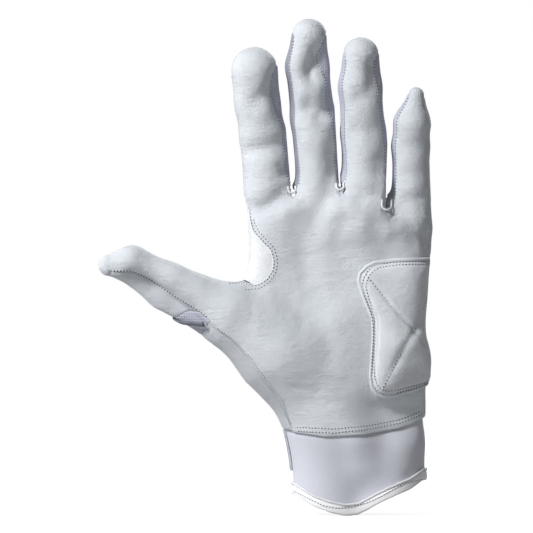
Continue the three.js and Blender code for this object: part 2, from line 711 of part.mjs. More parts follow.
function knuckleFlex(index) {
  const name = fingerNames[index];
  const { left, right } = digits[name];
  const turn = seamTurn(digits[name]);
  const isFirst = index === 0;
  const isLast = index === crotches.length;
  const low = isFirst ? webIndexAngles[1] : left.back;
  const top = spread(fullTurn - low - turn, right.back + turn, panelColumns).map((angle) => rootRay(name, angle));
  const end = top[panelColumns];
  const bottom = knucklePlaces.slice(index * panelColumns, (index + 1) * panelColumns + 1).map((place) => (
    flatRay(vec(place.x, 0, place.z + seamGap), 1, tiltAt(place, ulnarEdge))
  ));
  const leftEdge = isFirst
    ? webFrom(webSteps - flexSteps, webSteps, 1)
    : knuckleEdge(index - 1, flexGap / 2, [top[0]]);
  if (isFirst) leftEdge[0].origin.z += seamGap;
  const outline = spread(knucklePlaces[knucklePlaces.length - 1].z + seamGap, digits.little.creaseZ, flexSteps)
    .slice(0, -1).map((height) => flatRay(vec(ulnarEdge.x, 0, height), 1, sideTilt));
  const foot = !isLast && isTall(index) ? [wallFootRay(index, right.back + turn)] : [];
  const rightEdge = isLast ? [...outline, end] : knuckleEdge(index, -flexGap / 2, [...foot, end]);
  bottom[0] = leftEdge[0];
  bottom[panelColumns] = rightEdge[0];
  return fabricShell(handDistance, patchRays(handDistance, bottom, top, leftEdge, rightEdge));
}

// Back of the hand between the knuckles and the wrist
const backSeam = seamLine(backSeamPixels, thenarRows);

// The seam up the back on one side of its stitches, and its end beside the web gusset
function backEdge(distance) {
  const places = shifted(backSeam, distance);
  const corner = places[thenarRows].addScaledVector(webOutward[webThumbSteps], -webGap / 2);
  return flatRays([...places.slice(0, -1), corner], 1);
}

function backPanel() {
  const top = knucklePlaces.map((place) => flatRay(place, 1, tiltAt(place, ulnarEdge)));
  const left = [...backEdge(-seamGap / 2), ...webFrom(webThumbSteps + 1, webSteps - flexSteps, 1)];
  top[0] = left[left.length - 1];
  const last = knucklePlaces.length - 1;
  const wrist = seamLine(backWristPixels, last);
  const bottom = wrist.map((place) => flatRay(place, 1, tiltAt(place, wrist[last])));
  bottom[0] = left[0];
  const corner = knucklePlaces[last];
  const ulnar = resample([...ulnarPixels.slice(0, -1).map(fromPixel), corner], left.length);
  const right = ulnar.map((place) => flatRay(place, 1, sideTilt));
  return leatherShell(handDistance, patchRays(handDistance, bottom, top, left, right));
}

// Base of the thumb: from the palm's lower seam round the outline to the back seam
function thumbBaseBack() {
  const rows = thenarRows + webThumbSteps;
  const front = flatRays(shifted(seamLine(thumbSeamPixels, rows), seamGap / 2), -1);
  const back = [...backEdge(seamGap / 2), ...webFrom(webThumbSteps - 1, 0, 1)];
  const inside = vec(front[0].origin.x + wristSideRadius, 0, 0);
  const fold = spread(0, Math.PI, wristFold).map((turn) => {
    const origin = front[0].origin.clone().lerp(back[0].origin, turn / Math.PI);
    origin.x = mix(origin.x, inside.x, Math.sin(turn));
    return ray(origin, vec(-Math.sin(turn), -Math.cos(turn), 0));
  });
  const turn = seamTurn(digits.thumb);
  const ring = spread(-digits.thumb.left.back - turn, webThumbAngles[1] - fullTurn + turn, wristFold)
    .map((angle) => rootRay('thumb', angle));
  front[rows] = ring[0];
  return leatherShell(handDistance, patchRays(handDistance, fold, ring, front, back));
}

// Thumb beyond its hinge
const tipStart = (angle) => valueAt(thumbTipStartShares, angle) * digits.thumb.radius;

function thumbKnuckleFlex() {
  const digit = digits.thumb;
  const turn = seamTurn(digit);
  const angles = spread(digit.right.back + turn, fullTurn - digit.left.back - turn, thumbBackColumns);
  const rows = spread(0, 1, thumbFlexRows).map((share) => angles.map((angle) => (
    digitRay(digit, mix(hingeGap / 2, tipStart(angle) - seamGap, share) / digit.shaftLength, angle)
  )));
  return fabricShell(thumbDistance, rows);
}

function tube(points, radius, steps) {
  const outline = new THREE.Shape(spread(0, Math.PI * 2, trimSides).slice(0, -1).map((turn) => (
    new THREE.Vector2(radius * Math.cos(turn), radius * Math.sin(turn))
  )));
  const path = new THREE.CatmullRomCurve3(points);
  return new THREE.ExtrudeGeometry(outline, { steps, extrudePath: path, bevelEnabled: false });
}

function thumbFlexTrim() {
  const level = leatherThickness + layerGap + trimRadius;
  const { radius, shaftLength } = digits.thumb;
  const [[first], [last]] = [trimStartShares[0], trimStartShares[trimStartShares.length - 1]];
  const points = spread(first, last, trimSteps).map((angle) => (
    hit(thumbDistance, digitRay(digits.thumb, valueAt(trimStartShares, angle) * radius / shaftLength, angle), level)
  ));
  return tube(points, trimRadius, trimSteps);
}

// Cuff, hem, strap and fastener
const wristPlace = (height, angle) => ray(vec(0, 0, height), vec(
  wristHalfWidth * Math.sin(angle * degree), -wristHalfDepth * Math.cos(angle * degree), 0,
));

const wristTables = [hemFrontPixels, hemBackPixels, wristEdgePixels, backWristPixels].map(heightTable);

function wristHeight(frontTable, backTable, angle) {
  const table = Math.cos(angle * degree) > 0 ? frontTable : backTable;
  return valueAt(table, wristHalfWidth * Math.sin(angle * degree));
}

const hemHeight = (angle) => wristHeight(wristTables[0], wristTables[1], angle);
const edgeHeight = (angle) => wristHeight(wristTables[2], wristTables[3], angle);
const ventAngles = [ventCentre + ventHalfAngle, ventCentre + fullTurn - ventHalfAngle];
const tuckLevel = -layerGap - tuckDepth;

// Band round the wrist with rows at the given heights
function wristBand([from, to], columns, heights, outer, inner) {
  const turns = spread(from, to, columns);
  const grid = heights.map((height) => turns.map((angle) => wristPlace(height(angle), angle)));
  return shell(handDistance, [grid], outer, inner);
}

function cuff(angles, columns, bottom, level, thickness) {
  const top = (angle) => edgeHeight(angle) - tuckStart;
  const heights = spread(0, 1, cuffRows).map((share) => (angle) => mix(bottom(angle), top(angle), share));
  const outer = (row) => level - (row > cuffRows ? tuckDepth : 0);
  return wristBand(
    angles, columns, [...heights, (angle) => edgeHeight(angle) + cuffOverlap], outer, (row) => outer(row) - thickness,
  );
}

const wristCuff = () => cuff(ventAngles, cuffColumns, hemHeight, -layerGap, cuffThickness);

function cuffVent() {
  const half = ventHalfAngle + ventLap;
  const bottom = (angle) => hemHeight(angle) + bindingHeight;
  const level = -layerGap - cuffThickness - layerGap;
  return cuff([ventCentre - half, ventCentre + half], panelColumns, bottom, level, fabricThickness);
}

const hemTop = (angle) => hemHeight(angle) + bindingHeight;
const hemBinding = () => wristBand(ventAngles, cuffColumns, [hemHeight, hemTop], bindingThickness, 0);

function hemPiping() {
  const points = spread(ventAngles[0] + pipingRadius, ventAngles[1] - pipingRadius, cuffColumns).map((angle) => {
    const height = hemTop(angle) + pipingRadius + layerGap;
    return hit(handDistance, wristPlace(height, angle), pipingRadius + layerGap);
  });
  return tube(points, pipingRadius, cuffColumns);
}

const strapHeights = [() => strapBottom, () => strapTop];
const fastenerHeights = [() => strapBottom + fastenerMargin, () => strapTop - fastenerMargin];
const hookInner = fastenerThickness + layerGap;
const strapInner = hookInner + fastenerThickness + layerGap;

function closureStrap() {
  const turns = spread(strapStart, strapEnd, strapColumns);
  const halfHeight = (angle) => (
    (strapTop - strapBottom) / 2 * (1 - strapTipShare * clampShare(1 - (angle - strapEnd) / strapCornerTurn))
  );
  const rows = [-1, 0, 1].map((side) => turns.map((angle) => (
    wristPlace((strapBottom + strapTop) / 2 + side * halfHeight(angle), angle)
  )));
  const inner = (_, column) => mix(layerGap, strapInner, smooth(clampShare((strapStart - turns[column]) / strapRise)));
  return shell(handDistance, [rows], (_, column) => inner(_, column) + strapThickness, inner);
}

const materials = {
  leather: new THREE.MeshStandardMaterial({ color: 0xd9dde0, roughness: 0.55, metalness: 0 }),
  webLeather: new THREE.MeshStandardMaterial({ color: 0xf2f3f4, roughness: 0.55, metalness: 0 }),
  stretch: new THREE.MeshStandardMaterial({ color: 0xc9c9d6, roughness: 0.85, metalness: 0 }),
  neoprene: new THREE.MeshStandardMaterial({ color: 0xdcdde4, roughness: 0.8, metalness: 0 }),
  trim: new THREE.MeshStandardMaterial({ color: 0x5b606b, roughness: 0.7, metalness: 0 }),
  foam: new THREE.MeshStandardMaterial({ color: 0xe6e2d6, roughness: 0.95, metalness: 0 }),
};

const glove = new THREE.Group();
function add(name, geometry, material) {
  const mesh = new THREE.Mesh(geometry, materials[material].clone());
  mesh.name = name;
  glove.add(mesh);
}

add('palm_leather', palmLeather(), 'leather');
add('thumb_web_gusset', webGusset(), 'webLeather');
add('heel_patch_foam', heelPatchFoam(), 'foam');
add('heel_patch_cover', heelPatchCover(), 'leather');
crotches.forEach((_, index) => {
  add(`crotch_gusset_${fingerNames[index]}_${fingerNames[index + 1]}`, crotchGusset(index), 'stretch');
  if (isTall(index)) add(`${fingerNames[index]}_side_gusset`, sideGusset(index), 'stretch');
});
for (const name of fingerNames) {
  const { left, right } = digits[name];
  add(`${name}_front`, digitPanel(name, -left.front, right.front, 1, panelColumns), 'leather');
  add(`${name}_back`, digitPanel(name, right.back, fullTurn - left.back, -1, panelColumns), 'leather');
  if (left.back > left.front) add(`${name}_fourchette_left`, fourchette(name, -left.back, -left.front), 'stretch');
  if (right.back > right.front) add(`${name}_fourchette_right`, fourchette(name, right.front, right.back), 'stretch');
}
fingerNames.forEach((name, index) => add(`${name}_knuckle_flex`, knuckleFlex(index), 'stretch'));
add('back_panel', backPanel(), 'leather');
add('thumb_base_back', thumbBaseBack(), 'leather');
const { left: thumbLow, right: thumbHigh } = digits.thumb;
add('thumb_front', digitPanel('thumb', -thumbLow.front, thumbHigh.front, 1, panelColumns), 'leather');
add('thumb_back_tip', digitPanel(
  'thumb', thumbHigh.back, fullTurn - thumbLow.back, -1, thumbBackColumns, tipStart,
), 'leather');
add('thumb_knuckle_flex', thumbKnuckleFlex(), 'stretch');
add('thumb_flex_trim', thumbFlexTrim(), 'trim');
add('wrist_cuff', wristCuff(), 'neoprene');
add('cuff_vent_gusset', cuffVent(), 'stretch');
add('hem_binding', hemBinding(), 'webLeather');
add('hem_piping', hemPiping(), 'webLeather');
add('strap_anchor', wristBand(anchorAngles, 2, strapHeights, strapThickness, 0), 'leather');
add('loop_patch', wristBand(loopAngles, panelColumns, fastenerHeights, fastenerThickness, 0), 'trim');
add('hook_patch', wristBand(
  hookAngles, panelColumns, fastenerHeights, hookInner + fastenerThickness, hookInner,
), 'trim');
add('closure_strap', closureStrap(), 'leather');

export default glove;
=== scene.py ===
import math

import bpy
import numpy as np
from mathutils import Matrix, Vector, kdtree


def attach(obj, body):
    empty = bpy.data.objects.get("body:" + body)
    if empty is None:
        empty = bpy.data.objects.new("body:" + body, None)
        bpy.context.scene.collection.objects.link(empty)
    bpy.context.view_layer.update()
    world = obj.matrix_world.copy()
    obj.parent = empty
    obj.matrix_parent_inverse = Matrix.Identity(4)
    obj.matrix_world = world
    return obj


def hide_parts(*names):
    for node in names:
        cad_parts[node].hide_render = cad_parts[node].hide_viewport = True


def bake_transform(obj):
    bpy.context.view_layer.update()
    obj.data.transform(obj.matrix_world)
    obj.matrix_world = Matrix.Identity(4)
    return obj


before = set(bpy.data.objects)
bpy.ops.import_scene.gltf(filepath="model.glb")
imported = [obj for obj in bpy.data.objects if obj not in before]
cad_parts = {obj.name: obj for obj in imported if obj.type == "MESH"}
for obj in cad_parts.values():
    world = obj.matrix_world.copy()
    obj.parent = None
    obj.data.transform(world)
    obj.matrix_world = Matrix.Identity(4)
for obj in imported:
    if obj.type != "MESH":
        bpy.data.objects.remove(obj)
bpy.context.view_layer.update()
millimetre = 0.001


def mix(a, b, share):
    return a + (b - a) * share


def smooth(share):
    return share * share * (3 - 2 * share)


def clampShare(share):
    return np.clip(share, 0, 1)


def unit(vectors):
    return vectors / np.linalg.norm(vectors, axis=-1, keepdims=True)


def lengthsAlong(points):
    return np.concatenate([[0], np.cumsum(np.linalg.norm(np.diff(points, axis=0), axis=1))])


def placesAt(target, lengths, points):
    return np.stack([np.interp(target, lengths, points[:, k]) for k in range(3)], axis=-1)


# Sizes in millimetres, the same as in the solids
leather = 1.0
fabric = 0.9
layerGap = 0.3
edgeGap = 0.16
pixelSize = 0.48  # one pixel of the photograph
originPixel = np.array([360.0, 500.0])
fullTurn = 360

# The palm's bones are shares of its width, thickness and length, and of a radius
handForm = {
    "palmSize": np.array([90.0, 35.0, 140.0]),
    "palmBlend": 5.0, "digitBlend": 3.0, "thumbBlend": 5.0, "jointBlend": 1.0, "crotchBlend": 0.2,
    "rootReach": 30.0, "sideRadius": 13.0, "palmDepthAtThumb": 8.0, "thumbStartShare": 0.4,
    "palmBones": [
        ((-0.149, 0, 0.263, 0.389), (-0.451, 0.014, 0.943, 0.217)),
        ((-0.06, 0.029, 0.267, 0.46), (-0.21, 0.043, 0.976, 0.266)),
        ((0.037, 0.029, 0.271, 0.42), (0.026, 0.043, 0.964, 0.317)),
        ((0.118, 0, 0.273, 0.351), (0.252, 0.014, 0.855, 0.274)),
        ((-0.228, -0.057, 0.3, 0.32), (-0.421, -0.2, 0.486, 0.489)),
        ((0.171, -0.086, 0.351, 0.326), (0.207, -0.143, 0.477, 0.263)),
        ((-0.157, 0.029, -0.086, 0.506), (-0.163, 0.029, 0.269, 0.486)),
        ((0.151, 0.029, -0.086, 0.52), (0.149, 0.029, 0.176, 0.483)),
        ((-0.507, -0.057, 1.021, 0.089), (-0.51, -0.114, 0.801, 0.08)),
        ((-0.489, -0.114, 0.802, 0.026), (-0.512, -0.16, 0.646, 0.28)),
        ((-0.37, 0.012, 0.986, 0.2), (-0.11, 0.012, 0.993, 0.2)),
        ((-0.11, 0.012, 0.993, 0.2), (0.139, 0.012, 0.932, 0.2)),
    ],
}
palmSize = handForm["palmSize"]
sideRadius = handForm["sideRadius"]
# Each digit: its knuckle, then how far it reaches, leans and curls from there, its radius,
# the shares of these at its stations, the height of its hinge, and the angles of its front
# and back seams on each side, measured from the palm side
digits = {
    "index": {
        "knuckle": (-43.6, 0, 149.7), "reach": 56.2, "lean": -7, "curl": -6, "radius": 10.2,
        "reachShares": (0, 0.436, 0.72, 1), "leanShares": (0, 0.4, 0.79, 1),
        "curlShares": (0, 0.17, 0.58, 1), "radiusShares": (1.06, 0.97, 0.93, 1),
        "creaseZ": 148.8, "left": (96, 96), "right": (62, 118),
    },
    "middle": {
        "knuckle": (-18, 0, 140.7), "reach": 81.5, "lean": -6.5, "curl": -8, "radius": 9.6,
        "reachShares": (0, 0.525, 0.827, 1), "leanShares": (0, 0.71, 1.13, 1),
        "curlShares": (0, 0.19, 0.62, 1), "radiusShares": (1.06, 0.99, 0.95, 0.77),
        "creaseZ": 150.2, "left": (62, 118), "right": (62, 118),
    },
    "ring": {
        "knuckle": (5.1, 0, 138.4), "reach": 74.7, "lean": -5.1, "curl": -7.5, "radius": 9.6,
        "reachShares": (0, 0.505, 0.798, 1), "leanShares": (0, 0.7, 1, 0.94),
        "curlShares": (0, 0.2, 0.67, 1), "radiusShares": (1.28, 0.99, 0.95, 0.8),
        "creaseZ": 152.4, "left": (62, 118), "right": (62, 118),
    },
    "little": {
        "knuckle": (25, 0, 132.2), "reach": 62, "lean": 1.8, "curl": -5, "radius": 8,
        "reachShares": (0, 0.605, 0.79, 1), "leanShares": (0, -0.44, -0.06, 1),
        "curlShares": (0, 0.2, 0.6, 1), "radiusShares": (1.04, 0.96, 0.92, 0.36),
        "creaseZ": 141.6, "left": (62, 118), "right": (96, 96),
    },
    "thumb": {
        "knuckle": (-35, -7, 67.8), "reach": 44.8, "lean": -84.9, "curl": -8, "radius": 12,
        "reachShares": (0, 0.467, 0.776, 1.007, 1), "leanShares": (0, 0.335, 0.673, 0.874, 1),
        "curlShares": (0, 0.375, 0.625, 0.875, 1), "radiusShares": (1.18, 1.117, 0.85, 0.642, 0.342),
        "creaseZ": 92, "left": (31, 31), "right": (100, 100),
    },
}
fingerNames = ["index", "middle", "ring", "little"]
tips = {"spread": math.radians(76), "forkShare": 0.7}
slits = {
    "pixels": [((292, 191), (283, 84)), ((340, 188), (334, 84)), ((386, 208), (389, 124))],
    "gap": 0.9, "slope": 2.0, "notchDepth": 3.2, "wallFoot": 0.9, "tall": 3.0,
}
slitScale = math.hypot(1, slits["slope"])
spineSteps = 200
tangentStep = 0.004
hitSearch = {"rounds": 120, "stride": 0.95, "tolerance": 1e-4}
normalSearch = {"rounds": 6, "probe": 0.01, "depth": 2}


def fromPixel(pixels):
    pixels = np.asarray(pixels, float)
    x = (pixels[..., 0] - originPixel[0]) * pixelSize
    z = (originPixel[1] - pixels[..., 1]) * pixelSize
    return np.stack([x, np.zeros_like(x), z], axis=-1)


# The hand form is made of tapered bones, blended together
class Bones:
    def __init__(self, starts, ends, startRadii, endRadii):
        self.start = np.array(starts, float)
        self.along = np.array(ends, float) - self.start
        self.square = (self.along ** 2).sum(1)
        self.radii = np.array(startRadii, float), np.array(endRadii, float)

    def distances(self, p):
        away = p[:, None, :] - self.start
        share = clampShare((away * self.along).sum(2) / self.square)
        gap = np.linalg.norm(away - share[..., None] * self.along, axis=2)
        return gap - mix(self.radii[0], self.radii[1], share)


def softUnion(distances, softness):
    nearest = distances.min(1)
    total = np.exp((nearest[:, None] - distances) / softness).sum(1)
    return nearest - softness * np.log(total)


# The curve through a digit's stations, by share of its length
class Spine:
    def __init__(self, stations):
        first = stations[0] + unit(stations[0] - stations[1]) * handForm["rootReach"]
        points = [first, *stations]
        points = [2 * points[0] - points[1], *points, 2 * points[-1] - points[-2]]
        line = []
        for i in range(len(points) - 3):
            line.extend(self.segment(points[i:i + 4], np.linspace(0, 1, spineSteps + 1)[:-1]))
        line.append(points[-2])
        self.line = np.array(line)
        self.lengths = lengthsAlong(self.line)
        self.length = self.lengths[-1]

    @staticmethod
    def segment(points, t):
        a, b, c, d = points
        gaps = [np.linalg.norm(q - p) ** 0.5 for p, q in ((a, b), (b, c), (c, d))]
        start = ((b - a) / gaps[0] - (c - a) / (gaps[0] + gaps[1]) + (c - b) / gaps[1]) * gaps[1]
        end = ((c - b) / gaps[1] - (d - b) / (gaps[1] + gaps[2]) + (d - c) / gaps[2]) * gaps[1]
        t = t[:, None]
        cubic = 2 * b - 2 * c + start + end
        square = -3 * b + 3 * c - 2 * start - end
        return b + start * t + square * t ** 2 + cubic * t ** 3

    def at(self, share):
        return placesAt(np.asarray(share) * self.length, self.lengths, self.line)

    def tangent(self, share):
        share = np.asarray(share, float)
        low, high = np.maximum(share - tangentStep, 0), np.minimum(share + tangentStep, 1)
        return unit(self.at(high) - self.at(low))


palmBones = Bones(*zip(*[
    (palmSize * a[:3], palmSize * b[:3], palmSize[1] * a[3], palmSize[1] * b[3])
    for a, b in handForm["palmBones"]
]))
for digit in digits.values():
    offsets = np.stack([
        np.array(digit["leanShares"]) * digit["lean"], np.array(digit["curlShares"]) * digit["curl"],
        np.array(digit["reachShares"]) * digit["reach"],
    ], axis=1)
    stations = np.array(digit["knuckle"], float) + offsets
    radii = np.array(digit["radiusShares"]) * digit["radius"]
    digit["bones"] = Bones(stations[:-1], stations[1:], radii[:-1], radii[1:])
    digit["spine"] = Spine(stations)
    crease = np.argmax(digit["spine"].line[:, 2] > digit["creaseZ"])
    digit["crease"] = digit["spine"].lengths[crease] / digit["spine"].length
    digit["shaft"] = digit["spine"].length * (1 - digit["crease"])

# The slits between the fingers
crotches = []
for bottomPixel, topPixel in slits["pixels"]:
    bottom = fromPixel(bottomPixel)
    up = unit(fromPixel(topPixel) - bottom)
    crotches.append({"bottom": bottom, "up": up, "across": np.array([up[2], 0, -up[0]])})


def slitDistance(p, crotch, side):
    away = p - crotch["bottom"]
    across = side * (away @ crotch["across"]) + slits["gap"] / 2
    rise = away @ crotch["up"]
    return leather + np.minimum(across, (across + slits["slope"] * rise) / slitScale)


def palmDistance(p):
    return softUnion(palmBones.distances(p), handForm["palmBlend"])


def digitDistance(p, digit, palm, blend):
    chain = softUnion(digit["bones"].distances(p), handForm["jointBlend"])
    return softUnion(np.stack([palm, chain], axis=1), blend)


def fingerDistance(p, index, palm):
    distance = digitDistance(p, digits[fingerNames[index]], palm, handForm["digitBlend"])
    if index > 0:
        distance = np.maximum(distance, slitDistance(p, crotches[index - 1], -1))
    if index < len(crotches):
        distance = np.maximum(distance, slitDistance(p, crotches[index], 1))
    return distance


def thumbField(p, palm=None):
    palm = palmDistance(p) if palm is None else palm
    for crotch in crotches:
        palm = np.maximum(palm, np.minimum(slitDistance(p, crotch, -1), slitDistance(p, crotch, 1)))
    return digitDistance(p, digits["thumb"], palm, handForm["thumbBlend"])


def handField(p):
    palm = palmDistance(p)
    fields = [fingerDistance(p, index, palm) for index in range(len(fingerNames))]
    return softUnion(np.stack([*fields, thumbField(p, palm)], axis=1), handForm["crotchBlend"])


def fieldOf(name):
    if name == "thumb":
        return thumbField
    index = fingerNames.index(name)
    return lambda p: fingerDistance(p, index, palmDistance(p))


# A group of rays, each from inside the form out through the surface
class Rays:
    def __init__(self, origin, direction):
        self.origin = np.array(origin, float)
        self.direction = unit(np.array(direction, float))

    def __getitem__(self, key):
        return Rays(self.origin[key], self.direction[key])

    def __len__(self):
        return len(self.origin)

    def __add__(self, other):
        origin = np.concatenate([self.origin, other.origin])
        return Rays(origin, np.concatenate([self.direction, other.direction]))

    def hit(self, field, level):
        shape = self.origin.shape
        points = self.origin.reshape(-1, 3).copy()
        directions = self.direction.reshape(-1, 3)
        levels = np.broadcast_to(np.asarray(level, float), shape[:-1]).reshape(-1)
        active = np.arange(len(points))
        for _ in range(hitSearch["rounds"]):
            left = levels[active] - field(points[active])
            points[active] += directions[active] * (left * hitSearch["stride"])[:, None]
            active = active[np.abs(left) > hitSearch["tolerance"]]
            if not len(active):
                break
        return points.reshape(shape)


def resample(points, count):
    points = np.asarray(points, float)
    lengths = lengthsAlong(points)
    return placesAt(np.linspace(0, lengths[-1], count), lengths, points)


def seamLine(pixels, steps):
    return resample(fromPixel(pixels), steps + 1)


def shifted(places, distance):
    after = np.concatenate([places[1:], places[-1:]])
    before = np.concatenate([places[:1], places[:-1]])
    along = after - before
    left = unit(np.stack([-along[:, 2], np.zeros(len(along)), along[:, 0]], axis=1))
    return places + left * distance


def depthAt(x):
    share = clampShare((-x - palmSize[0] * handForm["thumbStartShare"]) / (palmSize[0] / 2))
    return -handForm["palmDepthAtThumb"] * smooth(share)


# Rays to the front (facing -1) or the back (facing 1), tilted sideways near the hand's edge
def flatRays(places, facing, tilt=0.0):
    tilt = np.broadcast_to(np.asarray(tilt, float), places.shape[:-1])
    origin = np.stack([places[..., 0] - tilt * sideRadius, depthAt(places[..., 0]), places[..., 2]], axis=-1)
    direction = np.stack([tilt, facing * np.sqrt(1 - tilt ** 2), np.zeros_like(tilt)], axis=-1)
    return Rays(origin, direction)


sideTilt = math.cos(edgeGap / 2 / sideRadius)


def tiltAt(places, edgeX):
    return clampShare(sideTilt - (edgeX - places[..., 0]) / sideRadius)


leanLimit = 0.92


# Rays that turn from front to back round an edge of the hand
def foldRays(places, edges, outwards, inset, turnShares, shift):
    depth = ((edges - places) * outwards).sum(-1)
    share = np.minimum(clampShare(1 - depth / inset), leanLimit)
    lean = np.arcsin(share) + share * shift / inset
    turn = mix(lean, math.pi - lean, turnShares)
    start = places + outwards * np.minimum(0, depth - inset)[..., None]
    bend = np.sin(turn)[..., None]
    origin = mix(start, edges - outwards * inset, bend)
    origin[..., 1] = depthAt(origin[..., 0])
    flat = np.zeros_like(origin)
    flat[..., 1] = -np.cos(turn)
    return Rays(origin, flat + outwards * bend)


# Where a share of a digit's shaft lies, and its directions along, to the front and sideways
def digitFrame(digit, share):
    place = clampShare(mix(digit["crease"], 1, np.asarray(share, float)))
    tangent = digit["spine"].tangent(place)
    front = tangent * tangent[..., 1:2] + np.array([0, -1.0, 0])
    front = unit(front)
    return digit["spine"].at(place), tangent, front, np.cross(tangent, front)


def digitRays(digit, shares, angles):
    shares, angles = np.broadcast_arrays(np.asarray(shares, float), np.asarray(angles, float))
    origin, _, front, side = digitFrame(digit, shares)
    turn = np.radians(angles)[..., None]
    return Rays(origin, front * np.cos(turn) + side * np.sin(turn))


# Rays that close a panel over the fingertip, towards the seam's place on it
def tipRays(digit, angles, seamPlaces, lift, shares):
    angles, seamPlaces, shares = np.broadcast_arrays(angles, seamPlaces, shares)
    origin, tangent, front, side = digitFrame(digit, np.ones(angles.shape))
    turn = np.radians(angles)[..., None]
    start = front * np.cos(turn) + side * np.sin(turn)
    spreadTurn = (seamPlaces * tips["spread"])[..., None]
    end = unit(side * np.sin(spreadTurn) + tangent * np.cos(spreadTurn) + front * lift)
    between = np.arccos(np.clip((start * end).sum(-1), -1, 1))[..., None]
    share = shares[..., None]
    return Rays(origin, start * np.sin((1 - share) * between) + end * np.sin(share * between))


settleRounds = 400


def normalRays(field, places):
    shape = places.shape
    points = places.reshape(-1, 3).copy()
    for _ in range(normalSearch["rounds"]):
        here = field(points)
        slope = np.stack([field(points + step) - here for step in np.eye(3) * normalSearch["probe"]], axis=1)
        slope = unit(slope)
        points += slope * (leather - here)[:, None]
    return Rays((points - slope * normalSearch["depth"]).reshape(shape), slope.reshape(shape))


# A grid of rays between four lines that share their corners
def patchRays(field, bottom, top, left, right):
    rows, columns = len(left), len(bottom)
    low, high, first, last = (line.hit(field, leather) for line in (bottom, top, left, right))
    up = np.linspace(0, 1, rows)[:, None, None]
    over = np.linspace(0, 1, columns)[None, :, None]
    places = low[None] * (1 - up) + high[None] * up + first[:, None] * (1 - over) + last[:, None] * over
    places = places - (low[0] * (1 - up) * (1 - over) + low[-1] * (1 - up) * over)
    places = places - (high[0] * up * (1 - over) + high[-1] * up * over)
    for _ in range(settleRounds):
        around = places[:-2, 1:-1] + places[2:, 1:-1] + places[1:-1, :-2] + places[1:-1, 2:]
        places[1:-1, 1:-1] = around / 4
    grid = normalRays(field, places)
    for part in ("origin", "direction"):
        values = getattr(grid, part)
        values[:, 0] = getattr(left, part)
        values[:, -1] = getattr(right, part)
        values[0] = getattr(bottom, part)
        values[-1] = getattr(top, part)
    return grid


# Relief on the palm side: creases and ridges drawn on the front view
strokeShape = {"leastPoints": 8, "pointsEach": 4, "reach": 3, "taper": 2.6, "endShare": 0.04}


class Stroke:
    def __init__(self, pixels, width, height):
        places = fromPixel(pixels)
        count = max(strokeShape["leastPoints"], strokeShape["pointsEach"] * len(places))
        self.line = resample(places, count)[:, [0, 2]]
        self.width = width
        self.height = height
        self.low = self.line.min(0) - strokeShape["reach"] * width
        self.high = self.line.max(0) + strokeShape["reach"] * width

    def lift(self, p):
        flat = p[:, [0, 2]]
        near = np.all((flat > self.low) & (flat < self.high), axis=1)
        result = np.zeros(len(p))
        if not near.any():
            return result
        spots = flat[near]
        start, along = self.line[:-1], np.diff(self.line, axis=0)
        away = spots[:, None] - start
        share = clampShare((away * along).sum(2) / (along ** 2).sum(1))
        gap = np.linalg.norm(away - share[..., None] * along, axis=2)
        best = gap.argmin(1)
        place = (best + share[np.arange(len(best)), best]) / len(along)
        fromEnd = np.minimum(place, 1 - place)
        taper = smooth(clampShare(fromEnd * strokeShape["taper"] + strokeShape["endShare"]))
        result[near] = self.height * np.exp(-(gap.min(1) / self.width) ** 2) * taper
        return result


